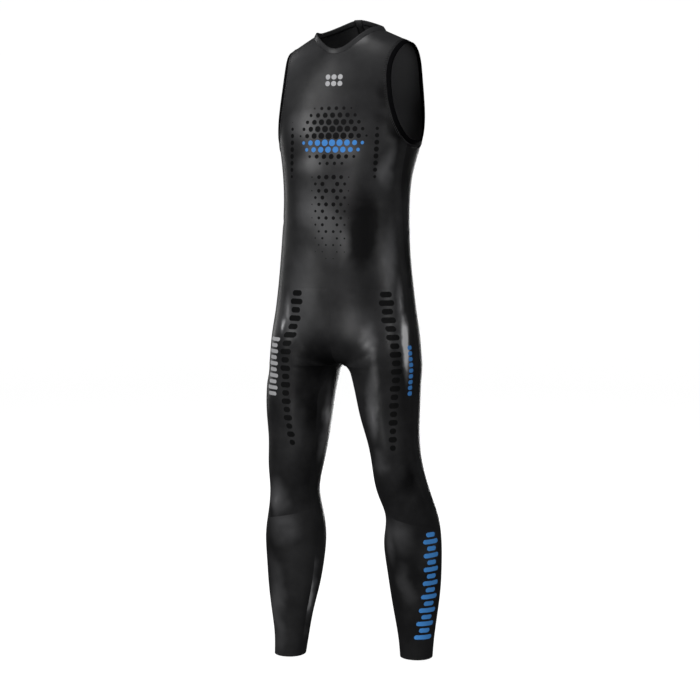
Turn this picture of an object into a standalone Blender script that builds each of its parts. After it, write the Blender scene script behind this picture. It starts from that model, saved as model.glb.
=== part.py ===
"""Sleeveless full-leg wetsuit, worn shape, hollow, one node for each cut and sewn piece.

Frame: metres, +Z up, the wearer faces -Y and the wearer's left is +X. The origin lies on the
shoulder line in the middle of the neck, where the wearer's shoulders hold the garment up.

The whole garment lies on one form. A place on it is (u, v) on the left or the right half.
u runs round the half from the front (0) over the outer side (0.5) to the back (1).
v runs down: -1 shoulder ridge, 0 underarm, 1 hip, 2 crotch, 3 ankle.
Below the crotch u runs from the inner side (0) over the front (0.25) right round to 1.
"""
import bpy
import bmesh
import numpy as np
from mathutils import Matrix, Vector

for thing in list(bpy.data.objects):
    bpy.data.objects.remove(thing, do_unlink=True)

# Cloth and seams
WALL = 0.003
SEAM_GAP = 0.0003
BINDING_WALL = 0.0042
BINDING_WIDTH = 0.0105
BINDING_ROUND = 0.0016
COLLAR_WALL = 0.0032
COLLAR_HEIGHT = 0.0115
COLLAR_ROUND = 0.0014
COLLAR_FOOT = 0.004
COLLAR_SWELL = 0.0004
COLLAR_LEAN = 0.55
COLLAR_RISE = 0.60

# Heights of the form's stations
UNDERARM = -0.250
HIP = -0.600
CROTCH = -0.725
ANKLE = -1.400

# Shoulders and neck
SHOULDER_HALF = 0.137
SHOULDER_TIP = -0.0325
SHOULDER_SLOPE = 0.52
RIDGE_ROUND = 0.020
RIDGE_SPAN = 0.158
CHEST_ARCH = 2.5
BACK_ARCH = 3.2
NECK_HALF = 0.080
NECK_FRONT = 0.0945
NECK_BACK = 0.052
SHOULDER_TILT = 0.065
TILT_TOP = -0.10
TILT_END = -0.50
SHOULDER_SLIDE = 0.034
SLIDE_TOP = 0.6
SLIDE_END = 0.5

# Crotch and legs
CROTCH_ROUND = 0.67
CROTCH_REACH = 3.5
HIP_FULLNESS = 0.10
INSEAM_ARCH = 0.020
OUTER_EASE = 0.050
LEG_ROUNDNESS = 2.1
CROTCH_FLAT = 0.010

# Torso sections: middle is the X of the section's centre, depths run from Y = 0
TORSO_COLUMNS = ("height", "middle", "half_width", "front", "back", "roundness")
TORSO_ROWS = (
    (0.000, 0.003, 0.1560, 0.118, 0.117, 2.8),
    (-0.060, 0.003, 0.1600, 0.118, 0.117, 2.8),
    (-0.120, 0.003, 0.1630, 0.118, 0.117, 2.8),
    (-0.180, 0.003, 0.1620, 0.118, 0.117, 2.8),
    (-0.245, 0.002, 0.1520, 0.118, 0.116, 2.8),
    (-0.310, -0.004, 0.1410, 0.114, 0.111, 2.6),
    (-0.370, -0.007, 0.1395, 0.108, 0.105, 2.4),
    (-0.430, -0.009, 0.1425, 0.104, 0.100, 2.3),
    (-0.500, -0.010, 0.1475, 0.102, 0.102, 2.3),
    (-0.570, -0.010, 0.1550, 0.102, 0.110, 2.3),
    (-0.640, -0.011, 0.1640, 0.100, 0.119, 2.3),
    (-0.725, -0.012, 0.1735, 0.097, 0.118, 2.3),
)

# Leg sections: X of the inner and outer edge, Y of the front and back
LEG_COLUMNS = ("height", "inner", "outer", "front", "back")
LEG_ROWS = {
    "right": (
        (-0.725, -0.027, -0.1855, -0.093, 0.104),
        (-0.780, -0.038, -0.1920, -0.088, 0.092),
        (-0.840, -0.046, -0.1920, -0.085, 0.083),
        (-0.900, -0.055, -0.1875, -0.080, 0.074),
        (-0.960, -0.067, -0.1885, -0.073, 0.064),
        (-1.010, -0.076, -0.1865, -0.065, 0.059),
        (-1.060, -0.071, -0.1930, -0.058, 0.065),
        (-1.120, -0.067, -0.2050, -0.051, 0.078),
        (-1.180, -0.072, -0.2040, -0.047, 0.078),
        (-1.240, -0.081, -0.1990, -0.043, 0.066),
        (-1.300, -0.094, -0.1900, -0.040, 0.051),
        (-1.360, -0.104, -0.1820, -0.037, 0.041),
        (-1.400, -0.111, -0.1820, -0.036, 0.040),
    ),
    "left": (
        (-0.725, 0.003, 0.1615, -0.093, 0.104),
        (-0.780, 0.018, 0.1600, -0.088, 0.092),
        (-0.840, 0.033, 0.1590, -0.086, 0.083),
        (-0.900, 0.052, 0.1600, -0.082, 0.075),
        (-0.960, 0.061, 0.1710, -0.073, 0.067),
        (-1.010, 0.069, 0.1860, -0.060, 0.064),
        (-1.060, 0.083, 0.1990, -0.046, 0.074),
        (-1.120, 0.074, 0.2020, -0.030, 0.096),
        (-1.180, 0.075, 0.1990, -0.016, 0.108),
        (-1.240, 0.080, 0.1940, 0.002, 0.110),
        (-1.300, 0.087, 0.1850, 0.019, 0.109),
        (-1.360, 0.095, 0.1760, 0.032, 0.108),
        (-1.400, 0.098, 0.1720, 0.036, 0.109),
    ),
}

# Armhole seam: u and the rise, from the underarm (0) to the shoulder ridge (1)
ARMHOLE_COLUMNS = ("front_u", "back_u", "rise")
ARMHOLE_ROWS = (
    (0.500, 0.500, 0.000),
    (0.455, 0.545, 0.004),
    (0.415, 0.585, 0.022),
    (0.375, 0.625, 0.062),
    (0.335, 0.665, 0.125),
    (0.301, 0.697, 0.200),
    (0.275, 0.720, 0.285),
    (0.255, 0.738, 0.375),
    (0.242, 0.750, 0.470),
    (0.234, 0.757, 0.570),
    (0.232, 0.759, 0.670),
    (0.236, 0.755, 0.770),
    (0.245, 0.747, 0.865),
    (0.254, 0.741, 0.940),
    (0.264, 0.736, 1.000),
)

# Counts of the panels' grid lines
FRONT_STEPS = 8
SIDE_STEPS = 4
BACK_STEPS = 8
TORSO_LEVELS = 12
FRONT_NECK_LEVELS = 6
BACK_NECK_LEVELS = 5

SIDES = {"left": 1.0, "right": -1.0}


def spline(heights, values, wanted):
    """Natural cubic spline through a table's column, straight on past its ends."""
    order = np.argsort(heights)
    x = np.asarray(heights, float)[order]
    y = np.asarray(values, float)[order]
    step = np.diff(x)
    slope = np.diff(y) / step
    count = len(x)
    system = np.eye(count)
    right_side = np.zeros(count)
    for k in range(1, count - 1):
        system[k, k - 1:k + 2] = step[k - 1], 2 * (step[k - 1] + step[k]), step[k]
        right_side[k] = 6 * (slope[k] - slope[k - 1])
    bend = np.linalg.solve(system, right_side)
    wanted = np.asarray(wanted, float)
    inside = np.clip(wanted, x[0], x[-1])
    k = np.clip(np.searchsorted(x, inside) - 1, 0, count - 2)
    a = (x[k + 1] - inside) / step[k]
    b = 1 - a
    curve = a * y[k] + b * y[k + 1]
    return curve + ((a**3 - a) * bend[k] + (b**3 - b) * bend[k + 1]) * step[k]**2 / 6


def column(rows, columns, name, wanted):
    """One named column of a table at the wanted heights."""
    heights = [row[0] for row in rows]
    values = [row[columns.index(name)] for row in rows]
    return spline(heights, values, wanted)


def power(value, exponent):
    """Superellipse power that keeps the sign."""
    return np.sign(value) * np.abs(value)**exponent


def smooth(value):
    value = np.clip(value, 0, 1)
    return value * value * (3 - 2 * value)


def torso(name, z):
    return column(TORSO_ROWS, TORSO_COLUMNS, name, z)


def torso_section(u, z):
    """Outward distance from the middle and Y, on the torso's section at height z."""
    exponent = 2 / torso("roundness", z)
    sine = power(np.sin(np.pi * u), exponent)
    cosine = power(np.cos(np.pi * u), exponent)
    depth = np.where(cosine > 0, torso("front", z), torso("back", z))
    return torso("half_width", z) * sine, -depth * cosine


def leg_section(u, inner, outer, front, back):
    """X and Y on a leg's section between its four edges."""
    cosine = power(np.cos(2 * np.pi * u), 2 / LEG_ROUNDNESS)
    sine = power(np.sin(2 * np.pi * u), 2 / LEG_ROUNDNESS)
    x = (inner + outer) / 2 + (inner - outer) / 2 * cosine
    y = (front + back) / 2 + (front - back) / 2 * sine
    return x, y


def tilted(x, y, z):
    """The shoulders hang lower on the wearer's right; the slant fades out at the waist."""
    fade = smooth((z - TILT_END) / (TILT_TOP - TILT_END))
    return np.stack([x, y, z + SHOULDER_TILT * x * fade], -1)


def ridge_height(reach):
    """Height of the shoulder ridge at a share of the half width."""
    tip = np.hypot(SHOULDER_HALF, RIDGE_ROUND)
    return SHOULDER_TIP + SHOULDER_SLOPE * (tip - np.hypot(reach * RIDGE_SPAN, RIDGE_ROUND))


def yoke_place(u, v, side):
    """Above the underarm each column arches from the chest or back up to the ridge."""
    angle = -v * np.pi / 2
    exponent = 2 / torso("roundness", UNDERARM)
    reach = power(np.sin(np.pi * u), exponent)
    swing = power(np.cos(np.pi * u), exponent)
    arch = np.where(swing > 0, CHEST_ARCH, BACK_ARCH)
    z = UNDERARM + (ridge_height(reach) - UNDERARM) * power(np.sin(angle), 2 / arch)
    depth = np.where(swing > 0, torso("front", z), torso("back", z))
    y = -depth * swing * power(np.cos(angle), 2 / arch)
    x = torso("middle", z) + side * torso("half_width", z) * reach
    return x, y, z


def near_middle(u):
    """1 at the middle seam or the inner leg, fading out round the half."""
    return np.abs(np.cos(np.pi * u))**(2 * CROTCH_REACH)


def hip_place(u, v, side, name):
    """Between hip and crotch the torso's half ring turns into the leg's whole ring."""
    share = v - 1
    end = near_middle(u)
    quarter = share * np.pi / 2
    drop = share * (1 - end) + power(np.sin(quarter), CROTCH_ROUND) * end
    turn = smooth(share) * (1 - end) + (1 - power(np.cos(quarter), CROTCH_ROUND)) * end
    z = HIP + (CROTCH - HIP) * drop
    away, torso_y = torso_section(u, z)
    middle = torso("middle", z)
    inner, _, front, back = (column(LEG_ROWS[name], LEG_COLUMNS, edge, CROTCH) for edge in LEG_COLUMNS[1:])
    leg_x, leg_y = leg_section(u, inner, middle + side * torso("half_width", z), front, back)
    leg_x = leg_x + (middle - inner) * end
    x = (middle + side * away) * (1 - turn) + leg_x * turn
    fuller = 1 + HIP_FULLNESS * 4 * turn * (1 - turn)
    return x, (torso_y * (1 - turn) + leg_y * turn) * fuller, z


def leg_place(u, v, side, name):
    """Below the crotch each leg is a tube; the inner edge arches out from the middle."""
    z = CROTCH + (ANKLE - CROTCH) * (v - 2)
    inner, outer, front, back = (column(LEG_ROWS[name], LEG_COLUMNS, edge, z) for edge in LEG_COLUMNS[1:])
    middle = torso("middle", CROTCH)
    top_outer = middle + side * torso("half_width", CROTCH)
    outer = top_outer + (outer - top_outer) * smooth((CROTCH - z) / OUTER_EASE)
    x, y = leg_section(u, inner, outer, front, back)
    below = np.clip((CROTCH - z) / INSEAM_ARCH, 0, 1)
    arch = (middle - inner) * (1 - np.sqrt(1 - (1 - below)**2))
    return x + arch * near_middle(u), y, z


def slid(u, v, name):
    """The left shoulder is drawn back, so the cloth beside its armhole slides round the form."""
    if name == "right":
        return u
    beside = np.sin(2 * np.pi * u)**2
    down = smooth((v + 1) / SLIDE_TOP) * smooth(1 - v / SLIDE_END)
    return u - SHOULDER_SLIDE * beside * down


def place(u, v, name):
    """Points on the form's outer face, an array of (x, y, z)."""
    side = SIDES[name]
    u, v = np.broadcast_arrays(np.asarray(u, float), np.asarray(v, float))
    u = slid(u, v, name)
    z = UNDERARM + (HIP - UNDERARM) * np.clip(v, 0, 1)
    away, torso_y = torso_section(u, z)
    parts = [
        yoke_place(u, np.clip(v, -1, 0), side),
        (torso("middle", z) + side * away, torso_y, z),
        hip_place(u, np.clip(v, 1, 2), side, name),
        leg_place(u, np.clip(v, 2, 3), side, name),
    ]
    zone = np.digitize(v, (0, 1, 2))
    x, y, z = (np.choose(zone, [part[axis] for part in parts]) for axis in range(3))
    return tilted(x, y, z)


def outward(u, v, name):
    """Unit normals of the form, level across the middle seam and down at the crotch."""
    nudge = 2e-4
    u, v = np.broadcast_arrays(np.asarray(u, float), np.asarray(v, float))
    split = v <= 2
    low_u = np.where(split, np.maximum(u - nudge, 0), u - nudge)
    high_u = np.where(split, np.minimum(u + nudge, 1), u + nudge)
    low_v = np.maximum(v - nudge, -1)
    high_v = np.where(split, np.minimum(v + nudge, 2), np.minimum(v + nudge, 3))
    across = place(high_u, v, name) - place(low_u, v, name)
    down = place(u, high_v, name) - place(u, low_v, name)
    normal = -SIDES[name] * np.cross(across, down)
    normal /= np.maximum(np.linalg.norm(normal, axis=-1, keepdims=True), 1e-15)
    crotch = place(0.0, 2.0, name)
    apart = np.linalg.norm(place(u, v, name) - crotch, axis=-1)
    pull = np.exp(-(apart / CROTCH_FLAT)**2)[..., None]
    normal = normal * (1 - pull) + pull * np.array([0.0, 0.0, -1.0])
    on_seam = split & ((u < 1e-6) | (u > 1 - 1e-6))
    normal[..., 0] = np.where(on_seam, 0, normal[..., 0])
    return normal / np.linalg.norm(normal, axis=-1, keepdims=True)


# Seams between the panels, as places on the form
ABDOMEN_SEAM = -0.553
SIDE_SEAM_TOP = 2
SIDE_SEAM_LOW = 0.46
OUTER_SEAM = 0.47
KNEE_INNER = -1.052
KNEE_OUTER = -1.088
THIGH_LEVELS = 10
SHIN_LEVELS = 12
ZIP_HALF = 0.009

# Inner leg seam under the crotch, then at the knee and the ankle
INNER_SEAM_COLUMNS = ("below_crotch", "u")
INNER_SEAM_ROWS = (
    (0.003, 0.010),
    (0.010, 0.030),
    (0.022, 0.055),
    (0.042, 0.085),
    (0.068, 0.105),
)
INNER_SEAM_KNEE = 0.085
INNER_SEAM_ANKLE = 0.075

# Rows of the grids: shares of the way from underarm to neck, and v from hip to crotch
CHEST_SHARES = (0.09, 0.22, 0.38, 0.56, 0.77, 1.0)
ZIP_SHARES = (0.11, 0.25, 0.40, 0.55, 0.70, 0.85, 1.0)
HIP_LEVELS = (1.0, 1.16, 1.32, 1.48, 1.64, 1.79, 1.91, 1.975, 2.0)
SEAT_EVEN_ROWS = 8


def torso_v(z):
    return (UNDERARM - z) / (UNDERARM - HIP)


def leg_v(z):
    return 2 + (z - CROTCH) / (ANKLE - CROTCH)


def arch_v(rise, arch):
    """v of a share of the rise from underarm to ridge."""
    return -2 / np.pi * np.arcsin(power(rise, arch / 2))


def reach_u(reach):
    """u on the front at a share of the chest section's half width."""
    return np.arcsin(power(reach, torso("roundness", UNDERARM) / 2)) / np.pi


def armhole_seam(part):
    """Places along the armhole seam from the underarm up to the shoulder ridge."""
    index = ARMHOLE_COLUMNS.index(part + "_u")
    arch = CHEST_ARCH if part == "front" else BACK_ARCH
    return [(row[index], float(arch_v(row[2], arch))) for row in ARMHOLE_ROWS]


def neck_seam(turn, part):
    """A place on the neck seam; turn goes from the middle (0) to the shoulder (90 degrees)."""
    deep, arch = (NECK_FRONT, CHEST_ARCH) if part == "front" else (NECK_BACK, BACK_ARCH)
    u = float(reach_u(NECK_HALF * np.sin(turn) / RIDGE_SPAN))
    swing = power(np.cos(np.pi * u), 2 / torso("roundness", UNDERARM))
    share = deep * np.cos(turn) / (torso(part, UNDERARM) * swing)
    v = -2 / np.pi * np.arccos(min(power(share, arch / 2), 1.0))
    return (u, v) if part == "front" else (1 - u, v)


def between(first, last, steps):
    """Evenly spaced values, the first left out."""
    return [first + (last - first) * k / steps for k in range(1, steps + 1)]


def ruled(left, right, shares):
    """Grid of places between two edges; shares gives each row's spacing."""
    rows = []
    for k, (a, b) in enumerate(zip(left, right, strict=True)):
        share = shares(k)[:, None]
        rows.append(np.array(a) * (1 - share) + np.array(b) * share)
    return np.array(rows)


def even(steps):
    spacing = np.linspace(0, 1, steps + 1)
    return lambda k: spacing


SEAM_V = torso_v(ABDOMEN_SEAM)
TORSO_V = list(np.linspace(SEAM_V, 0, TORSO_LEVELS + 1))
SIDE_U = ARMHOLE_ROWS[SIDE_SEAM_TOP][0]


def side_seam(part):
    """The side panel's seam narrows from the armhole down to the hip."""
    places = []
    for v in TORSO_V[:-1]:
        u = SIDE_U + (SIDE_SEAM_LOW - SIDE_U) * v / SEAM_V
        places.append((u, v) if part == "front" else (1 - u, v))
    return places


def front_edges():
    """Middle and outer edge of half the front body, from its bottom seam to the shoulder."""
    top = neck_seam(0.0, "front")[1]
    middle = [(0.0, v) for v in TORSO_V]
    middle += [(0.0, top * share) for share in CHEST_SHARES]
    middle += [neck_seam(turn, "front") for turn in between(0, np.pi / 2, FRONT_NECK_LEVELS)]
    outer = side_seam("front") + armhole_seam("front")[SIDE_SEAM_TOP:]
    return middle, outer


def zip_places():
    """The back body's edge along the zip, up to the neck seam."""
    start = float(np.arcsin(ZIP_HALF / torso("half_width", 0.0) * RIDGE_SPAN / NECK_HALF))
    neck = neck_seam(start, "back")
    edge = []
    for v in TORSO_V:
        z = UNDERARM + (HIP - UNDERARM) * v
        edge.append((1 - float(np.arcsin(power(ZIP_HALF / torso("half_width", z),
                                               torso("roundness", z) / 2))) / np.pi, v))
    low = edge[-1][0]
    for share in ZIP_SHARES:
        edge.append((low + (neck[0] - low) * share, neck[1] * share))
    return edge, start


def back_edges():
    """Outer edge and zip edge of half the back body, from its bottom seam to the shoulder."""
    outer = side_seam("back") + armhole_seam("back")[SIDE_SEAM_TOP:]
    edge, start = zip_places()
    edge = edge + [neck_seam(turn, "back") for turn in between(start, np.pi / 2, BACK_NECK_LEVELS)]
    return outer, edge


def inner_edge():
    """The seam down the middle of the front, through the crotch and down the inner leg."""
    places = [(0.0, v) for v in (SEAM_V, *HIP_LEVELS)]
    places += [(u, leg_v(CROTCH - below)) for below, u in INNER_SEAM_ROWS]
    last_u, last_v = places[-1]
    knee_v = leg_v(KNEE_INNER)
    for share in between(0, 1, THIGH_LEVELS):
        places.append((last_u + (INNER_SEAM_KNEE - last_u) * share, last_v + (knee_v - last_v) * share))
    return places


def outer_edge(inner):
    """The seam down the outer side, whose rows slant down to the knee seam."""
    knee_v, slant = leg_v(KNEE_INNER), leg_v(KNEE_OUTER) - leg_v(KNEE_INNER)
    places = []
    for _, v in inner:
        share = max(v - 2, 0) / (knee_v - 2)
        low = smooth((v - SEAM_V) / (2 - SEAM_V))
        places.append((SIDE_SEAM_LOW + (OUTER_SEAM - SIDE_SEAM_LOW) * low, v + slant * share))
    return places


def shin_edges():
    """Inner and outer edge from the knee seam to the ankle."""
    start, end = leg_v(KNEE_INNER), 3.0
    inner = [(INNER_SEAM_KNEE, start)]
    outer = [(OUTER_SEAM, leg_v(KNEE_OUTER))]
    for share in between(0, 1, SHIN_LEVELS):
        inner.append((INNER_SEAM_KNEE + (INNER_SEAM_ANKLE - INNER_SEAM_KNEE) * share,
                      start + (end - start) * share))
        outer.append((OUTER_SEAM, outer[0][1] + (end - outer[0][1]) * share))
    return inner, outer


def wrapped(places):
    """The inner seam as the back panels reach it, once round the leg."""
    return [(u + 1, v) for u, v in places]


def seat_shares():
    """The seat's columns meet those above it at the top and even out below."""
    top_right = zip_places()[0][0][0]
    stops = [SIDE_SEAM_LOW] + between(SIDE_SEAM_LOW, 1 - SIDE_SEAM_LOW, SIDE_STEPS)
    stops += between(1 - SIDE_SEAM_LOW, top_right, BACK_STEPS) + [1.0]
    top = (np.array(stops) - SIDE_SEAM_LOW) / (1 - SIDE_SEAM_LOW)
    level = np.linspace(0, 1, len(stops))
    return lambda k: top + (level - top) * smooth(k / SEAT_EVEN_ROWS)


def panel_grids():
    """Each panel's grid of places, for one half of the garment."""
    middle, front_outer = front_edges()
    back_outer, zip_edge = back_edges()
    side_front = front_outer[:TORSO_LEVELS + 1]
    side_back = back_outer[:TORSO_LEVELS + 1]
    side = ruled(side_front, side_back, even(SIDE_STEPS))
    under = armhole_seam("front")[SIDE_SEAM_TOP:0:-1] + armhole_seam("back")[:SIDE_SEAM_TOP + 1]
    side[-1] = np.array(under)
    inner = inner_edge()
    outer = outer_edge(inner)
    shin_inner, shin_outer = shin_edges()
    return {
        "front_body": ruled(middle, front_outer, even(FRONT_STEPS)),
        "side_panel": side,
        "back_body": ruled(back_outer, zip_edge, even(BACK_STEPS)),
        "front_thigh": ruled(inner, outer, even(FRONT_STEPS)),
        "seat_thigh": ruled(outer, wrapped_below(inner), seat_shares()),
        "shin": ruled(shin_inner, shin_outer, even(FRONT_STEPS)),
        "calf": ruled(shin_outer, wrapped(shin_inner), even(SIDE_STEPS + BACK_STEPS + 1)),
    }


def wrapped_below(inner):
    """Down to the crotch the seat ends at the middle of the back, below it wraps round."""
    return [(1.0, v) if v <= 2 else (u + 1, v) for u, v in inner]


def material(name, colour, roughness, metallic=0.0):
    """A plain finish for one kind of piece."""
    made = bpy.data.materials.new(name)
    made.use_nodes = True
    shader = made.node_tree.nodes["Principled BSDF"]
    shader.inputs["Base Color"].default_value = (*colour, 1)
    shader.inputs["Roughness"].default_value = roughness
    shader.inputs["Metallic"].default_value = metallic
    made.diffuse_color = (*colour, 1)
    return made


MATERIALS = {
    "smooth_neoprene": material("smooth_neoprene", (0.018, 0.018, 0.019), 0.42),
    "panel_neoprene": material("panel_neoprene", (0.026, 0.026, 0.028), 0.55),
    "binding": material("binding", (0.010, 0.010, 0.011), 0.75),
    "zip_tape": material("zip_tape", (0.012, 0.012, 0.012), 0.80),
    "moulded_black": material("moulded_black", (0.014, 0.014, 0.015), 0.38),
}


def finish(name, bm, finish_name):
    """Turn a closed bmesh into a named object with its material."""
    bmesh.ops.recalc_face_normals(bm, faces=bm.faces)
    mesh = bpy.data.meshes.new(name)
    bm.to_mesh(mesh)
    bm.free()
    mesh.materials.append(MATERIALS[finish_name])
    mesh.shade_smooth()
    mesh.set_sharp_from_angle(angle=np.radians(40))
    made = bpy.data.objects.new(name, mesh)
    bpy.context.scene.collection.objects.link(made)
    return made


def add_patch(bm, layer, grid, name):
    """Lay a grid of places on the form; each vertex keeps its outward direction."""
    points = place(grid[..., 0], grid[..., 1], name)
    normals = outward(grid[..., 0], grid[..., 1], name)
    rows, columns = grid.shape[:2]
    made = bmesh.ops.create_grid(bm, x_segments=columns - 1, y_segments=rows - 1, size=1)
    for vert in made["verts"]:
        k = round((vert.co.y + 1) / 2 * (rows - 1))
        j = round((vert.co.x + 1) / 2 * (columns - 1))
        vert.co = points[k, j]
        vert[layer] = normals[k, j]
    faces = {face for vert in made["verts"] for face in vert.link_faces}
    turned = []
    for face in faces:
        face.normal_update()
        if face.normal.dot(sum((vert[layer] for vert in face.verts), Vector())) < 0:
            turned.append(face)
    bmesh.ops.reverse_faces(bm, faces=turned)


def trim_edges(bm):
    """Draw the panel's edges in by half a seam gap."""
    inward = {}
    for edge in bm.edges:
        if not edge.is_boundary:
            continue
        face = edge.link_faces[0]
        ends = edge.verts
        way = face.normal.cross(ends[1].co - ends[0].co).normalized()
        if way.dot(face.calc_center_median() - ends[0].co) < 0:
            way = -way
        for vert in ends:
            inward.setdefault(vert, []).append(way)
    for vert, ways in inward.items():
        first, last = ways[0], ways[-1]
        vert.co += (first + last) * (SEAM_GAP / 2) / (1 + first.dot(last))


def clear_of_middle(co, side):
    """Keep a point of one half on its own side of the middle seam."""
    if co.z < CROTCH - 0.0005:
        return
    middle = float(torso("middle", co.z))
    co.x = middle + side * max(side * (co.x - middle), SEAM_GAP / 2)


def panel(name, patches, finish_name, half=None):
    """One cut piece: a wall between the form's face and the same face moved in."""
    bm = bmesh.new()
    layer = bm.verts.layers.float_vector.new("outward")
    for grid, side_name in patches:
        add_patch(bm, layer, grid, side_name)
    bmesh.ops.remove_doubles(bm, verts=bm.verts, dist=1e-6)
    for face in bm.faces:
        face.normal_update()
    trim_edges(bm)
    rim = [edge for edge in bm.edges if edge.is_boundary]
    copied = bmesh.ops.duplicate(bm, geom=bm.verts[:] + bm.edges[:] + bm.faces[:])
    pairs = copied["vert_map"]
    inner_faces = [item for item in copied["geom"] if isinstance(item, bmesh.types.BMFace)]
    inner_verts = [item for item in copied["geom"] if isinstance(item, bmesh.types.BMVert)]
    for vert in inner_verts:
        vert.co -= vert[layer].normalized() * WALL
    if half:
        for vert in bm.verts:
            clear_of_middle(vert.co, SIDES[half])
    bmesh.ops.reverse_faces(bm, faces=inner_faces)
    for edge in rim:
        a, b = edge.verts
        bm.faces.new((a, b, pairs[b], pairs[a]))
    return finish(name, bm, finish_name)


def frames(places, closed):
    """Point, outward direction and direction into the opening at each place of a seam."""
    points = [Vector(place(u, v, name)) for u, v, name in places]
    normals = [Vector(outward(u, v, name)) for u, v, name in places]
    centre = sum(points, Vector()) / len(points)
    result = []
    for k, (point, normal) in enumerate(zip(points, normals)):
        before = points[k - 1] if k or closed else point
        after = points[(k + 1) % len(points)] if k < len(points) - 1 or closed else point
        into = normal.cross(after - before).normalized()
        if into.dot(centre - point) < 0:
            into = -into
        result.append((point, normal, into))
    return result


def sweep(name, sections, closed, finish_name):
    """Join equal rings of points into one closed solid along a path."""
    bm = bmesh.new()
    rings = [[bm.verts.new(co) for co in section] for section in sections]
    size = len(rings[0])
    count = len(rings) if closed else len(rings) - 1
    for k in range(count):
        a, b = rings[k], rings[(k + 1) % len(rings)]
        for j in range(size):
            bm.faces.new((a[j], a[(j + 1) % size], b[(j + 1) % size], b[j]))
    if not closed:
        bm.faces.new(rings[0])
        bm.faces.new(rings[-1])
    return finish(name, bm, finish_name)


def armhole_binding(name, side_name):
    """A band round the armhole, slightly proud of the panels on both faces."""
    front, back = armhole_seam("front"), armhole_seam("back")
    places = [(u, v, side_name) for u, v in front[::-1] + back[1:-1]]
    proud = (BINDING_WALL - WALL) / 2
    near, far = BINDING_ROUND, BINDING_WIDTH - BINDING_ROUND
    profile = ((near, proud), (far, proud), (BINDING_WIDTH, -WALL / 2),
               (far, -WALL - proud), (near, -WALL - proud))
    sections = []
    for point, normal, into in frames(places, True):
        base = point + into * SEAM_GAP / 2
        section = [base]
        section += [base + into * along + normal * high for along, high in profile]
        section.append(base - normal * WALL)
        sections.append(section)
    return sweep(name, sections, True, "binding")


def collar_frames():
    """Frames along the neck seam, from one side of the zip round the front to the other."""
    start = zip_places()[1]
    back = [neck_seam(turn, "back") for turn in [start] + between(start, np.pi / 2, BACK_NECK_LEVELS)]
    front = [neck_seam(turn, "front") for turn in between(0, np.pi / 2, FRONT_NECK_LEVELS)]
    left = [(u, v, "left") for u, v in back + front[-2::-1]]
    right = [(u, v, "right") for u, v, _ in left]
    centre = [(*neck_seam(0.0, "front"), "left")]
    stations = frames(left + centre + right[::-1], False)
    for end, side in ((0, 1), (-1, -1)):
        point, normal, into = stations[end]
        point = point + Vector((side * SEAM_GAP / 2, 0, 0))
        stations[end] = (point, square_to_zip(normal), square_to_zip(into))
    return stations


def square_to_zip(way):
    return Vector((0, way.y, way.z)).normalized()


def collar_axes(normal, into):
    """The way up the collar and the way out of it."""
    rise = (into * COLLAR_LEAN + Vector((0, 0, COLLAR_RISE))).normalized()
    return rise, (normal - rise * normal.dot(rise)).normalized()


def collar():
    """A low soft band standing on the neck seam, open at the zip."""
    sections = []
    for point, normal, into in collar_frames():
        rise, out = collar_axes(normal, into)
        base = point + into * SEAM_GAP / 2
        crest = COLLAR_HEIGHT - COLLAR_ROUND
        section = [base, base + rise * COLLAR_FOOT + out * COLLAR_SWELL, base + rise * crest]
        section.append(base + rise * COLLAR_HEIGHT - out * COLLAR_WALL / 2)
        section.append(base + rise * crest - out * COLLAR_WALL)
        section.append(base + rise * COLLAR_FOOT - out * COLLAR_WALL)
        section.append(base - normal * WALL)
        sections.append(section)
    return sweep("neck_band", sections, False, "smooth_neoprene")


# Zip: half widths across the tape, heights out from the form's face
COIL_TOP = (0.0027, 0.0006)
COIL_FOOT = (0.0033, -0.0006)
TAPE_FACE = (ZIP_HALF - SEAM_GAP / 2, -0.0006)
TAPE_BACK = (ZIP_HALF - SEAM_GAP / 2, -0.0024)


def zip_line():
    """Point and outward direction up the middle of the back, up to the collar's top edge."""
    edge, _ = zip_places()
    line = []
    for _, v in edge:
        line.append((Vector(place(1.0, v, "left")), Vector(outward(1.0, v, "left"))))
    first = line[0][0] + (line[1][0] - line[0][0]).normalized() * SEAM_GAP / 2
    line[0] = (first, line[0][1])
    _, normal, into = collar_frames()[0]
    rise, out = collar_axes(normal, into)
    line.append((line[-1][0] + rise * COLLAR_HEIGHT, out))
    return line


def zip_tape():
    """Tape with its closed coil as a raised line down the middle."""
    right = (COIL_TOP, COIL_FOOT, TAPE_FACE, TAPE_BACK)
    profile = right + tuple((-far, high) for far, high in right[::-1])
    sections = []
    for point, normal in zip_line():
        sections.append([point + Vector((far, 0, 0)) + normal * high for far, high in profile])
    return sweep("zip_tape", sections, False, "zip_tape")


# Slider and pull tab, in their own axes: X across, Y out from the back, Z up the zip
SLIDER_SHARE = 0.60
SLIDER_SIZE = (0.0086, 0.0024, 0.0130)
SLIDER_LIFT = 0.0011
SLIDER_ROUND = 0.0006
SLIDER_END = 0.0015
BRIDGE_WIDTH = 0.0026
BRIDGE_HEIGHT = 0.0036
BRIDGE_BAR = 0.0010
TAB_BAR = 0.0012
TAB_WINDOW = (0.0040, 0.0085)
TAB_WIDTH = 0.0084
TAB_LENGTH = 0.034
TAB_THICK = 0.0014
TAB_LEAN = -3.0
SUNK = 0.0004


def slider_axes():
    """The slider's centre on the coil, with the way out and the way up the zip."""
    line = zip_line()
    low, high = line[-3], line[-2]
    point = low[0].lerp(high[0], SLIDER_SHARE)
    up = (high[0] - low[0]).normalized()
    out = Vector((1, 0, 0)).cross(up)
    if out.y < 0:
        out = -out
    return point, out, up


def box(bm, size, centre):
    """A block in the slider's own axes."""
    made = bmesh.ops.create_cube(bm, size=1)
    bmesh.ops.scale(bm, vec=size, verts=made["verts"])
    bmesh.ops.translate(bm, vec=centre, verts=made["verts"])
    return made["verts"]


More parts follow.
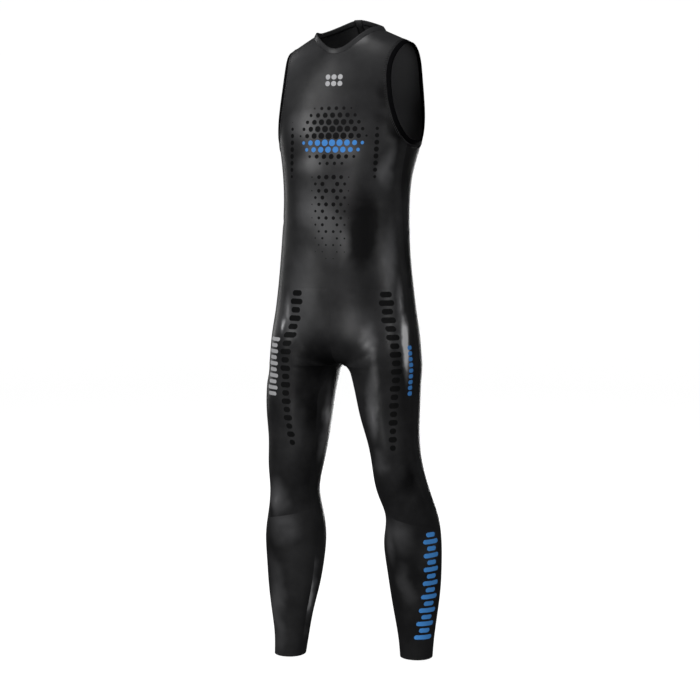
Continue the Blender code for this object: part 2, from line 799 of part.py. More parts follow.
def joined(name, solids, finish_name, axes):
    """Union of simple blocks, turned and moved to its own axes on the back."""
    point, out, up = axes
    base = solids[0]
    for other in solids[1:]:
        union = base.modifiers.new("join", "BOOLEAN")
        union.operation = "UNION"
        union.solver = "EXACT"
        union.object = other
    bpy.context.view_layer.update()
    graph = bpy.context.evaluated_depsgraph_get()
    bm = bmesh.new()
    bm.from_object(base, graph)
    for solid in solids:
        bpy.data.objects.remove(solid, do_unlink=True)
    made = finish(name, bm, finish_name)
    turn = Matrix((Vector((1, 0, 0)), out, up)).transposed()
    made.matrix_world = Matrix.LocRotScale(point, turn.to_quaternion(), None)
    return made


def block(name, size, centre, bevel=0.0):
    """One block as an object, with rounded edges where wanted."""
    bm = bmesh.new()
    box(bm, size, centre)
    if bevel:
        bmesh.ops.bevel(bm, geom=bm.edges[:], offset=bevel, segments=1, affect="EDGES", profile=0.5)
    mesh = bpy.data.meshes.new(name)
    bm.to_mesh(mesh)
    bm.free()
    made = bpy.data.objects.new(name, mesh)
    bpy.context.scene.collection.objects.link(made)
    return made


def slider():
    """Slider body with a bridge that holds the pull tab."""
    width, deep, long = SLIDER_SIZE
    top = SLIDER_LIFT + deep
    bar = BRIDGE_BAR
    leg = long / 2 - SLIDER_END
    solids = [block("body", SLIDER_SIZE, (0, SLIDER_LIFT + deep / 2, 0), SLIDER_ROUND)]
    height = BRIDGE_HEIGHT + SUNK
    for end in (-leg, leg):
        solids.append(block("leg", (BRIDGE_WIDTH, height, bar), (0, top - SUNK + height / 2, end)))
    span = 2 * leg + bar
    solids.append(block("bridge", (BRIDGE_WIDTH, bar, span), (0, top + BRIDGE_HEIGHT - bar / 2, 0)))
    return joined("zip_slider", solids, "moulded_black", slider_axes())


def pull_tab():
    """A flat tab whose top bar, the hinge, turns under the slider's bridge."""
    point, out, up = slider_axes()
    hinge = SLIDER_LIFT + SLIDER_SIZE[1] + (BRIDGE_HEIGHT - BRIDGE_BAR) / 2
    lean = np.radians(TAB_LEAN)
    centre = point + out * hinge
    way = (up * -np.cos(lean) + out * np.sin(lean)).normalized()
    facing = Vector((1, 0, 0)).cross(way)
    if facing.dot(out) < 0:
        facing = -facing
    window, reach = TAB_WINDOW
    rail = (TAB_WIDTH - window) / 2
    solids = [block("bar", (TAB_WIDTH, TAB_BAR, TAB_BAR), (0, 0, 0))]
    for edge in (-1, 1):
        far = edge * (TAB_WIDTH - rail) / 2
        solids.append(block("rail", (rail, TAB_THICK, reach), (far, 0, SUNK - reach / 2)))
    plate = TAB_LENGTH - reach + SUNK
    solids.append(block("plate", (TAB_WIDTH, TAB_THICK, plate), (0, 0, SUNK - reach - plate / 2)))
    return joined("pull_tab", solids, "moulded_black", (centre, facing, -way))


GRIDS = panel_grids()
panel("front_body", [(GRIDS["front_body"], "left"), (GRIDS["front_body"], "right")], "smooth_neoprene")
for half in SIDES:
    panel("side_panel_" + half, [(GRIDS["side_panel"], half)], "panel_neoprene")
    panel("back_body_" + half, [(GRIDS["back_body"], half)], "smooth_neoprene")
    panel("front_thigh_" + half, [(GRIDS["front_thigh"], half)], "smooth_neoprene", half)
    panel("seat_thigh_" + half, [(GRIDS["seat_thigh"], half)], "panel_neoprene", half)
    panel("shin_" + half, [(GRIDS["shin"], half)], "smooth_neoprene")
    panel("calf_" + half, [(GRIDS["calf"], half)], "panel_neoprene")
    armhole_binding("armhole_binding_" + half, half)
collar()
zip_tape()
slider()
pull_tab()
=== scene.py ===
import math
import bpy
import bmesh
import numpy as np
from mathutils import Vector, Matrix


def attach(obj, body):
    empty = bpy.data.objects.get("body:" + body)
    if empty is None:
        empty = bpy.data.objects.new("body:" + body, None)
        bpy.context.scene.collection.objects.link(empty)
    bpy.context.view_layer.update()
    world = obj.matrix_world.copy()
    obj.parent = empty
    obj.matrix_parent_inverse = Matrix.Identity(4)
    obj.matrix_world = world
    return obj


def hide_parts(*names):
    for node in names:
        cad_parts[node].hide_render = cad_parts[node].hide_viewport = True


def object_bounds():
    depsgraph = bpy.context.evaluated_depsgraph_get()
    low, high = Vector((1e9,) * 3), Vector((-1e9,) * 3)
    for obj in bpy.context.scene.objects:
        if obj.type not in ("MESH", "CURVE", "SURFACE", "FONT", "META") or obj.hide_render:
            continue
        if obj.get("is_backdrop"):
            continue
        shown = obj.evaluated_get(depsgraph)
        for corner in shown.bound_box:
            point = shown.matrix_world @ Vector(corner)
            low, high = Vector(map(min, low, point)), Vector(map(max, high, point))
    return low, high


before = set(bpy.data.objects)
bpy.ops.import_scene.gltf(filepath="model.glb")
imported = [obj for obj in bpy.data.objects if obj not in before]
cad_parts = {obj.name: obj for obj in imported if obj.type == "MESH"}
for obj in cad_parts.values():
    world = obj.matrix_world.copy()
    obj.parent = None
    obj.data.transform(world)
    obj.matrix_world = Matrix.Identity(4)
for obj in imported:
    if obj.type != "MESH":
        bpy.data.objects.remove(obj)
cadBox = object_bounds()
print("frame loaded")


# camera, backdrop and lights
studio = dict(
    target=(0.0, 0.0, -0.6953), distance=3.6, azimuth=20.0, elevation=6.0, lens=83.16,
    floorHeight=-1.4075, floorRadius=5.0, bendRadius=2.0, bendSteps=9, wallHeight=9.0,
    floorTone=(0.15, 0.15, 0.15), glow=0.97, skyStrength=0.045,
    lamps=dict(  # place, size across and up, power
        keyLeft=((2.4, -1.9, 0.45), (0.7, 2.2), 78.0),
        fillRight=((-1.7, -2.7, 0.5), (0.9, 2.2), 115.0),
        frontLow=((-0.3, -3.2, -1.2), (0.9, 0.7), 22.0),
        topSoft=((0.0, -0.8, 2.2), (1.4, 1.2), 50.0),
        rimLeft=((2.6, 1.3, 0.1), (0.5, 2.6), 3.0),
        rimRight=((-2.6, 1.3, 0.1), (0.5, 2.6), 22.0),
        back=((-0.3, 2.8, -0.85), (1.0, 1.4), 45.0),
    ),
)


def linked(name, data):
    made = bpy.data.objects.new(name, data)
    bpy.context.scene.collection.objects.link(made)
    return made


def buildStudio():
    aim = Vector(studio["target"])
    azimuth, elevation = math.radians(studio["azimuth"]), math.radians(studio["elevation"])
    level = math.cos(elevation)
    away = Vector((math.sin(azimuth) * level, -math.cos(azimuth) * level, math.sin(elevation)))
    lensData = bpy.data.cameras.new("camera")
    lensData.lens = studio["lens"]
    lensData.sensor_width = 36.0
    camera = linked("camera", lensData)
    camera.location = aim + away * studio["distance"]
    camera.rotation_euler = away.to_track_quat("Z", "Y").to_euler()
    bpy.context.scene.camera = camera
    bpy.context.scene.view_settings.view_transform = "Standard"
    for name, (place, size, power) in studio["lamps"].items():
        lamp = bpy.data.lights.new(name, "AREA")
        lamp.shape = "RECTANGLE"
        lamp.size, lamp.size_y = size
        lamp.energy = power
        holder = linked(name, lamp)
        holder.location = place
        holder.rotation_euler = (Vector(place) - aim).to_track_quat("Z", "Y").to_euler()
        holder.visible_camera = False
    world = bpy.data.worlds.new("dimSky")
    world.use_nodes = True
    sky = world.node_tree.nodes["Background"]
    sky.inputs["Color"].default_value = (1, 1, 1, 1)
    sky.inputs["Strength"].default_value = studio["skyStrength"]
    bpy.context.scene.world = world


# the garment's form
form = dict(  # the same sizes as the solids, in metres
    wall=0.003, underarm=-0.250, hip=-0.600, crotch=-0.725, ankle=-1.400,
    shoulderHalf=0.137, shoulderTip=-0.0325, shoulderSlope=0.52, ridgeRound=0.020, ridgeSpan=0.158,
    chestArch=2.5, backArch=3.2, neckHalf=0.080, neckFront=0.0945, neckBack=0.052,
    shoulderTilt=0.065, tiltTop=-0.10, tiltEnd=-0.50,
    crotchRound=0.67, crotchReach=3.5, hipFullness=0.10, inseamArch=0.020, outerEase=0.050,
    legRoundness=2.1, crotchFlat=0.010, shoulderSlide=0.034, slideTop=0.6, slideEnd=0.5,
)
torsoColumns = ("height", "middle", "halfWidth", "front", "back", "roundness")
torsoRows = (
    (0.000, 0.003, 0.1560, 0.118, 0.117, 2.8),
    (-0.060, 0.003, 0.1600, 0.118, 0.117, 2.8),
    (-0.120, 0.003, 0.1630, 0.118, 0.117, 2.8),
    (-0.180, 0.003, 0.1620, 0.118, 0.117, 2.8),
    (-0.245, 0.002, 0.1520, 0.118, 0.116, 2.8),
    (-0.310, -0.004, 0.1410, 0.114, 0.111, 2.6),
    (-0.370, -0.007, 0.1395, 0.108, 0.105, 2.4),
    (-0.430, -0.009, 0.1425, 0.104, 0.100, 2.3),
    (-0.500, -0.010, 0.1475, 0.102, 0.102, 2.3),
    (-0.570, -0.010, 0.1550, 0.102, 0.110, 2.3),
    (-0.640, -0.011, 0.1640, 0.100, 0.119, 2.3),
    (-0.725, -0.012, 0.1735, 0.097, 0.118, 2.3),
)
legColumns = ("height", "inner", "outer", "front", "back")
legRows = {
    "right": (
        (-0.725, -0.027, -0.1855, -0.093, 0.104),
        (-0.780, -0.038, -0.1920, -0.088, 0.092),
        (-0.840, -0.046, -0.1920, -0.085, 0.083),
        (-0.900, -0.055, -0.1875, -0.080, 0.074),
        (-0.960, -0.067, -0.1885, -0.073, 0.064),
        (-1.010, -0.076, -0.1865, -0.065, 0.059),
        (-1.060, -0.071, -0.1930, -0.058, 0.065),
        (-1.120, -0.067, -0.2050, -0.051, 0.078),
        (-1.180, -0.072, -0.2040, -0.047, 0.078),
        (-1.240, -0.081, -0.1990, -0.043, 0.066),
        (-1.300, -0.094, -0.1900, -0.040, 0.051),
        (-1.360, -0.104, -0.1820, -0.037, 0.041),
        (-1.400, -0.111, -0.1820, -0.036, 0.040),
    ),
    "left": (
        (-0.725, 0.003, 0.1615, -0.093, 0.104),
        (-0.780, 0.018, 0.1600, -0.088, 0.092),
        (-0.840, 0.033, 0.1590, -0.086, 0.083),
        (-0.900, 0.052, 0.1600, -0.082, 0.075),
        (-0.960, 0.061, 0.1710, -0.073, 0.067),
        (-1.010, 0.069, 0.1860, -0.060, 0.064),
        (-1.060, 0.083, 0.1990, -0.046, 0.074),
        (-1.120, 0.074, 0.2020, -0.030, 0.096),
        (-1.180, 0.075, 0.1990, -0.016, 0.108),
        (-1.240, 0.080, 0.1940, 0.002, 0.110),
        (-1.300, 0.087, 0.1850, 0.019, 0.109),
        (-1.360, 0.095, 0.1760, 0.032, 0.108),
        (-1.400, 0.098, 0.1720, 0.036, 0.109),
    ),
}
armholeColumns = ("front", "back", "rise")
armholeRows = (  # u of the front and the back, share of the rise to the shoulder
    (0.500, 0.500, 0.000),
    (0.455, 0.545, 0.004),
    (0.415, 0.585, 0.022),
    (0.375, 0.625, 0.062),
    (0.335, 0.665, 0.125),
    (0.301, 0.697, 0.200),
    (0.275, 0.720, 0.285),
    (0.255, 0.738, 0.375),
    (0.242, 0.750, 0.470),
    (0.234, 0.757, 0.570),
    (0.232, 0.759, 0.670),
    (0.236, 0.755, 0.770),
    (0.245, 0.747, 0.865),
    (0.254, 0.741, 0.940),
    (0.264, 0.736, 1.000),
)
sides = {"left": 1.0, "right": -1.0}


def spline(at, values, wanted):  # natural cubic through the table's values, flat past the ends
    order = np.argsort(at)
    x, y = np.asarray(at, float)[order], np.asarray(values, float)[order]
    step = np.diff(x)
    slope = np.diff(y) / step
    count = len(x)
    system, known = np.eye(count), np.zeros(count)
    for k in range(1, count - 1):
        system[k, k - 1:k + 2] = step[k - 1], 2 * (step[k - 1] + step[k]), step[k]
        known[k] = 6 * (slope[k] - slope[k - 1])
    bend = np.linalg.solve(system, known)
    held = np.clip(np.asarray(wanted, float), x[0], x[-1])
    k = np.clip(np.searchsorted(x, held) - 1, 0, count - 2)
    a = (x[k + 1] - held) / step[k]
    b = 1 - a
    return a * y[k] + b * y[k + 1] + ((a**3 - a) * bend[k] + (b**3 - b) * bend[k + 1]) * step[k]**2 / 6


def column(rows, columns, name, wanted):
    return spline([row[0] for row in rows], [row[columns.index(name)] for row in rows], wanted)


def mix(first, last, share):
    return first + (last - first) * share


def power(value, exponent):  # keeps the sign
    return np.sign(value) * np.abs(value)**exponent


def ease(value):
    value = np.clip(value, 0, 1)
    return value * value * (3 - 2 * value)


def torso(name, z):
    return column(torsoRows, torsoColumns, name, z)


def torsoSection(u, z):
    exponent = 2 / torso("roundness", z)
    across, along = power(np.sin(np.pi * u), exponent), power(np.cos(np.pi * u), exponent)
    depth = np.where(along > 0, torso("front", z), torso("back", z))
    return torso("halfWidth", z) * across, -depth * along


def legSection(u, inner, outer, front, back):
    exponent = 2 / form["legRoundness"]
    along, across = power(np.cos(2 * np.pi * u), exponent), power(np.sin(2 * np.pi * u), exponent)
    x = (inner + outer) / 2 + (inner - outer) / 2 * along
    return x, (front + back) / 2 + (front - back) / 2 * across


def ridgeHeight(reach):
    tip = np.hypot(form["shoulderHalf"], form["ridgeRound"])
    drop = tip - np.hypot(reach * form["ridgeSpan"], form["ridgeRound"])
    return form["shoulderTip"] + form["shoulderSlope"] * drop


def yokePlace(u, v, side):  # above the underarm the form arches up to the shoulder ridge
    angle = -v * np.pi / 2
    exponent = 2 / torso("roundness", form["underarm"])
    reach, swing = power(np.sin(np.pi * u), exponent), power(np.cos(np.pi * u), exponent)
    arch = np.where(swing > 0, form["chestArch"], form["backArch"])
    z = form["underarm"] + (ridgeHeight(reach) - form["underarm"]) * power(np.sin(angle), 2 / arch)
    depth = np.where(swing > 0, torso("front", z), torso("back", z))
    y = -depth * swing * power(np.cos(angle), 2 / arch)
    return torso("middle", z) + side * torso("halfWidth", z) * reach, y, z


def nearMiddle(u):
    return np.abs(np.cos(np.pi * u))**(2 * form["crotchReach"])


def hipPlace(u, v, side, name):  # the torso's half ring turns into the leg's whole ring
    share = v - 1
    end = nearMiddle(u)
    quarter = share * np.pi / 2
    drop = share * (1 - end) + power(np.sin(quarter), form["crotchRound"]) * end
    turn = ease(share) * (1 - end) + (1 - power(np.cos(quarter), form["crotchRound"])) * end
    z = mix(form["hip"], form["crotch"], drop)
    away, torsoY = torsoSection(u, z)
    middle = torso("middle", z)
    crotch = form["crotch"]
    inner, _, front, back = (column(legRows[name], legColumns, edge, crotch) for edge in legColumns[1:])
    legX, legY = legSection(u, inner, middle + side * torso("halfWidth", z), front, back)
    legX = legX + (middle - inner) * end
    fuller = 1 + form["hipFullness"] * 4 * turn * (1 - turn)
    x = (middle + side * away) * (1 - turn) + legX * turn
    return x, (torsoY * (1 - turn) + legY * turn) * fuller, z


def legPlace(u, v, side, name):
    z = mix(form["crotch"], form["ankle"], v - 2)
    inner, outer, front, back = (column(legRows[name], legColumns, edge, z) for edge in legColumns[1:])
    middle = torso("middle", form["crotch"])
    topOuter = middle + side * torso("halfWidth", form["crotch"])
    outer = mix(topOuter, outer, ease((form["crotch"] - z) / form["outerEase"]))
    x, y = legSection(u, inner, outer, front, back)
    below = np.clip((form["crotch"] - z) / form["inseamArch"], 0, 1)
    arch = (middle - inner) * (1 - np.sqrt(1 - (1 - below)**2))
    return x + arch * nearMiddle(u), y, z


def slid(u, v, name):  # the left shoulder is drawn back, and the cloth beside its armhole slides round
    if name == "right":
        return u
    beside = np.sin(2 * np.pi * u)**2
    down = ease((v + 1) / form["slideTop"]) * ease(1 - v / form["slideEnd"])
    return u - form["shoulderSlide"] * beside * down


def place(u, v, name):  # points on the outer face: u round the half, v down from the shoulder
    side = sides[name]
    u, v = np.broadcast_arrays(np.asarray(u, float), np.asarray(v, float))
    u = slid(u, v, name)
    z = mix(form["underarm"], form["hip"], np.clip(v, 0, 1))
    away, torsoY = torsoSection(u, z)
    parts = [yokePlace(u, np.clip(v, -1, 0), side), (torso("middle", z) + side * away, torsoY, z),
             hipPlace(u, np.clip(v, 1, 2), side, name), legPlace(u, np.clip(v, 2, 3), side, name)]
    zone = np.digitize(v, (0, 1, 2))
    x, y, z = (np.choose(zone, [part[axis] for part in parts]) for axis in range(3))
    fade = ease((z - form["tiltEnd"]) / (form["tiltTop"] - form["tiltEnd"]))
    return np.stack([x, y, z + form["shoulderTilt"] * x * fade], -1)


def outward(u, v, name):  # the form's normals
    nudge = 2e-4
    u, v = np.broadcast_arrays(np.asarray(u, float), np.asarray(v, float))
    split = v <= 2
    lowU, highU = (np.where(split, np.clip(u + shift, 0, 1), u + shift) for shift in (-nudge, nudge))
    lowV = np.maximum(v - nudge, -1)
    highV = np.where(split, np.minimum(v + nudge, 2), np.minimum(v + nudge, 3))
    alongU = place(highU, v, name) - place(lowU, v, name)
    alongV = place(u, highV, name) - place(u, lowV, name)
    normal = -sides[name] * np.cross(alongU, alongV)
    normal /= np.maximum(np.linalg.norm(normal, axis=-1, keepdims=True), 1e-15)
    apart = np.linalg.norm(place(u, v, name) - place(0.0, 2.0, name), axis=-1)
    pull = np.exp(-(apart / form["crotchFlat"])**2)[..., None]
    normal = normal * (1 - pull) + pull * np.array([0.0, 0.0, -1.0])
    onSeam = split & ((u < 1e-6) | (u > 1 - 1e-6))
    normal[..., 0] = np.where(onSeam, 0, normal[..., 0])
    return normal / np.linalg.norm(normal, axis=-1, keepdims=True)


# seams, as places on the form
seams = dict(
    abdomen=-0.553, sideTop=2, sideLow=0.46, outerLow=0.47, kneeInner=-1.052, kneeOuter=-1.088,
    innerKnee=0.085, innerAnkle=0.075, zipHalf=0.009, torsoLevels=12, thighLevels=10, shinLevels=12,
    chestShares=(0.09, 0.22, 0.38, 0.56, 0.77, 1.0), frontNeck=6,
    zipShares=(0.11, 0.25, 0.40, 0.55, 0.70, 0.85, 1.0), backNeck=5,
    hipLevels=(1.0, 1.16, 1.32, 1.48, 1.64, 1.79, 1.91, 1.975, 2.0),
    innerRows=((0.003, 0.010), (0.010, 0.030), (0.022, 0.055), (0.042, 0.085), (0.068, 0.105)),
)


def torsoV(z):
    return (form["underarm"] - z) / (form["underarm"] - form["hip"])


def legV(z):
    return 2 + (z - form["crotch"]) / (form["ankle"] - form["crotch"])


def between(first, last, steps):  # evenly spaced, the first left out
    return [first + (last - first) * k / steps for k in range(1, steps + 1)]


def armholeSeam(part):
    arch = form["chestArch"] if part == "front" else form["backArch"]
    index = armholeColumns.index(part)
    return [(row[index], float(-2 / np.pi * np.arcsin(power(row[2], arch / 2)))) for row in armholeRows]


neckNames = dict(front=("neckFront", "chestArch"), back=("neckBack", "backArch"))


def neckSeam(turn, part):
    deep, arch = (form[name] for name in neckNames[part])
    roundness = torso("roundness", form["underarm"])
    u = float(np.arcsin(power(form["neckHalf"] * np.sin(turn) / form["ridgeSpan"], roundness / 2)) / np.pi)
    swing = power(np.cos(np.pi * u), 2 / roundness)
    share = deep * np.cos(turn) / (torso(part, form["underarm"]) * swing)
    v = -2 / np.pi * np.arccos(min(power(share, arch / 2), 1.0))
    return (u, v) if part == "front" else (1 - u, v)


seamV = torsoV(seams["abdomen"])
torsoLevels = list(np.linspace(seamV, 0, seams["torsoLevels"] + 1))
sideU = armholeRows[seams["sideTop"]][0]


def sideSeam(part):
    places = []
    for v in torsoLevels[:-1]:
        u = sideU + (seams["sideLow"] - sideU) * v / seamV
        places.append((u, v) if part == "front" else (1 - u, v))
    return places


def zipPlaces():
    half = seams["zipHalf"]
    start = float(np.arcsin(half / torso("halfWidth", 0.0) * form["ridgeSpan"] / form["neckHalf"]))
    neck = neckSeam(start, "back")
    edge = []
    for v in torsoLevels:
        z = mix(form["underarm"], form["hip"], v)
        across = power(half / torso("halfWidth", z), torso("roundness", z) / 2)
        edge.append((1 - float(np.arcsin(across)) / np.pi, v))
    low = edge[-1][0]
    edge += [(mix(low, neck[0], share), neck[1] * share) for share in seams["zipShares"]]
    return edge, start


def innerEdge():
    places = [(0.0, v) for v in (seamV, *seams["hipLevels"])]
    places += [(u, legV(form["crotch"] - below)) for below, u in seams["innerRows"]]
    lastU, lastV = places[-1]
    kneeV = legV(seams["kneeInner"])
    return places + [(mix(lastU, seams["innerKnee"], share), mix(lastV, kneeV, share))
                     for share in between(0, 1, seams["thighLevels"])]


def outerEdge(inner):
    kneeV = legV(seams["kneeInner"])
    slant = legV(seams["kneeOuter"]) - kneeV
    places = []
    for _, v in inner:
        low = ease((v - seamV) / (2 - seamV))
        u = mix(seams["sideLow"], seams["outerLow"], low)
        places.append((u, v + slant * max(v - 2, 0) / (kneeV - 2)))
    return places


def shinEdges():
    start = legV(seams["kneeInner"])
    inner, outer = [(seams["innerKnee"], start)], [(seams["outerLow"], legV(seams["kneeOuter"]))]
    for share in between(0, 1, seams["shinLevels"]):
        inner.append((mix(seams["innerKnee"], seams["innerAnkle"], share), mix(start, 3, share)))
        outer.append((seams["outerLow"], mix(outer[0][1], 3, share)))
    return inner, outer


def panelEdges():  # for each panel its two long edges and the rows where an edge has a corner
    top = neckSeam(0.0, "front")[1]
    neckTurns = between(0, np.pi / 2, seams["frontNeck"])
    middle = [(0.0, v) for v in torsoLevels] + [(0.0, top * share) for share in seams["chestShares"]]
    middle += [neckSeam(turn, "front") for turn in neckTurns]
    frontOuter = sideSeam("front") + armholeSeam("front")[seams["sideTop"]:]
    backOuter = sideSeam("back") + armholeSeam("back")[seams["sideTop"]:]
    zipEdge, start = zipPlaces()
    zipEdge += [neckSeam(turn, "back") for turn in between(start, np.pi / 2, seams["backNeck"])]
    inner = innerEdge()
    outer = outerEdge(inner)
    wrapped = [(1.0, v) if v <= 2 else (u + 1, v) for u, v in inner]
    shinInner, shinOuter = shinEdges()
    calfInner = [(u + 1, v) for u, v in shinInner]
    levels = seams["torsoLevels"]
    crotchRow = len(seams["hipLevels"])
    return {
        "frontBody": (middle, frontOuter, (levels, levels + len(seams["chestShares"]))),
        "sidePanel": (frontOuter[:levels + 1], backOuter[:levels + 1], ()),
        "backBody": (backOuter, zipEdge, (levels, levels + len(seams["zipShares"]))),
        "frontThigh": (inner, outer, (crotchRow,)),
        "seatThigh": (outer, wrapped, (crotchRow,)),
        "shin": (shinInner, shinOuter, ()),
        "calf": (shinOuter, calfInner, ()),
    }


def refined(places, corners, steps):  # smooth in-between places, straight at the corners' rows
    places = np.array(places, float)
    stops = [0, *corners, len(places) - 1]
    result = []
    for first, last in zip(stops[:-1], stops[1:]):
        rows = np.arange(first, last + 1)
        fine = np.linspace(first, last, (last - first) * steps + 1)[(1 if result else 0):]
        path = [spline(rows, places[first:last + 1, axis], fine) for axis in (0, 1)]
        result += list(zip(*path))
    return result


# creases
creaseShape = dict(steps=25, tip=0.03, taper=1.5)  # places along one, how blunt its tips are, and how full
creaseColumns = ("start", "end", "bow", "width", "depth")  # places are (u, v), the rest is in metres
creases = dict(
    left=(
        ((0.03, 1.86), (0.30, 1.52), 0.010, 0.0070, -0.0016),  # groin, running up to the hip
        ((0.06, 1.95), (0.24, 1.74), 0.006, 0.0060, 0.0010),
        ((0.10, 2.03), (0.27, 1.97), 0.004, 0.0055, -0.0008),
        ((0.96, 1.90), (0.68, 1.86), -0.012, 0.0080, -0.0016),  # under the seat
        ((0.93, 2.03), (0.74, 2.01), -0.006, 0.0060, 0.0009),
        ((0.64, 2.475), (0.86, 2.470), 0.006, 0.0055, -0.0015),  # behind the knees
        ((0.60, 2.500), (0.90, 2.503), 0.004, 0.0050, 0.0009),
        ((0.66, 2.528), (0.84, 2.536), -0.005, 0.0050, -0.0012),
        ((0.16, 2.560), (0.36, 2.548), -0.006, 0.0065, 0.0008),  # below the kneecaps
        ((0.20, 2.580), (0.33, 2.583), -0.003, 0.0050, -0.0006),
        ((0.33, 0.42), (0.52, 0.33), 0.010, 0.0080, -0.0010),  # waist, at the flank
        ((0.38, 0.56), (0.60, 0.50), 0.008, 0.0070, 0.0008),
        ((0.95, 0.62), (0.70, 0.70), 0.014, 0.0095, -0.0016),  # small of the back
        ((0.93, 0.78), (0.74, 0.83), 0.010, 0.0080, 0.0012),
        ((0.33, -0.12), (0.26, -0.30), 0.006, 0.0070, -0.0010),  # pull lines beside the underarms
        ((0.68, -0.14), (0.76, -0.34), 0.006, 0.0070, -0.0010),
        ((0.12, 2.905), (0.42, 2.893), 0.003, 0.0045, 0.0006),  # ankles
        ((0.60, 2.880), (0.92, 2.893), 0.003, 0.0045, -0.0007),
    ),
    right=(
        ((0.03, 1.84), (0.27, 1.56), 0.009, 0.0075, -0.0014),
        ((0.05, 1.94), (0.22, 1.78), 0.005, 0.0060, 0.0009),
        ((0.12, 2.02), (0.26, 1.99), 0.004, 0.0050, -0.0007),
        ((0.97, 1.92), (0.70, 1.84), -0.011, 0.0080, -0.0017),
        ((0.92, 2.04), (0.72, 2.03), -0.005, 0.0055, 0.0008),
        ((0.62, 2.468), (0.83, 2.474), 0.005, 0.0055, -0.0013),
        ((0.66, 2.492), (0.92, 2.488), -0.003, 0.0045, 0.0008),
        ((0.61, 2.520), (0.80, 2.512), -0.004, 0.0050, -0.0010),
        ((0.15, 2.540), (0.35, 2.545), -0.005, 0.0060, 0.0008),
        ((0.19, 2.562), (0.31, 2.556), -0.003, 0.0050, -0.0006),
        ((0.30, 0.46), (0.50, 0.40), 0.009, 0.0085, -0.0010),
        ((0.40, 0.62), (0.58, 0.57), 0.006, 0.0065, 0.0008),
        ((0.95, 0.66), (0.68, 0.72), 0.013, 0.0090, -0.0015),
        ((0.92, 0.84), (0.78, 0.87), 0.008, 0.0075, 0.0010),
        ((0.34, -0.10), (0.27, -0.27), 0.005, 0.0070, -0.0009),
        ((0.67, -0.12), (0.75, -0.31), 0.005, 0.0070, -0.0010),
        ((0.10, 2.915), (0.38, 2.906), 0.003, 0.0045, 0.0006),
        ((0.62, 2.885), (0.90, 2.875), 0.003, 0.0045, -0.0007),
    ),
)


def creasedHeight(points, half):  # how far the cloth stands out or in at these points
    lift = np.zeros(len(points))
    for row in creases[half]:
        crease = dict(zip(creaseColumns, row))
        t = np.linspace(0, 1, creaseShape["steps"])
        u, v = (mix(first, last, t) for first, last in zip(crease["start"], crease["end"]))
        path = place(u, v, half)
        path[:, 2] -= crease["bow"] * 4 * t * (1 - t)
        near = np.linalg.norm(points[:, None] - path[None], axis=-1)
        tip = creaseShape["tip"]
        taper = np.sin(np.pi * mix(tip, 1 - tip, t[near.argmin(1)]))**creaseShape["taper"]
        lift += crease["depth"] * taper * np.exp(-(near.min(1) / crease["width"])**2)
    return lift


# shader helpers
class Wire:  # a socket that plain sums work on
    def __init__(self, shader, socket):
        self.shader, self.socket = shader, socket

    def sum(self, operation, *values):
        return self.shader.make("ShaderNodeMath", {"operation": operation}, dict(enumerate(values)))

    def __add__(self, other):
        return self.sum("ADD", self, other)

    def __radd__(self, other):
        return self.sum("ADD", other, self)

    def __sub__(self, other):
        return self.sum("SUBTRACT", self, other)

    def __rsub__(self, other):
        return self.sum("SUBTRACT", other, self)

    def __mul__(self, other):
        return self.sum("MULTIPLY", self, other)

    def __rmul__(self, other):
        return self.sum("MULTIPLY", other, self)

    def __truediv__(self, other):
        return self.sum("DIVIDE", self, other)

    def __abs__(self):
        return self.sum("ABSOLUTE", self)

    def lowest(self, other):
        return self.sum("MINIMUM", self, other)

    def highest(self, other):
        return self.sum("MAXIMUM", self, other)

    def above(self, low):
        return self.sum("GREATER_THAN", self, low)

    def below(self, high):
        return self.sum("LESS_THAN", self, high)

    def part(self):
        return self.sum("FRACT", self)

    def floor(self):
        return self.sum("FLOOR", self)

    def root(self):
        return self.sum("SQRT", self)

    def sine(self):
        return self.sum("SINE", self)

    def wave(self, rate):  # from 0 to 1 and back
        return (self * rate).sine() * 0.5 + 0.5

    def fade(self, start, end):  # 0 at start, 1 at end, smooth between
        return self.shader.make("ShaderNodeMapRange", {"interpolation_type": "SMOOTHSTEP"},
                                {"Value": self, "From Min": start, "From Max": end})


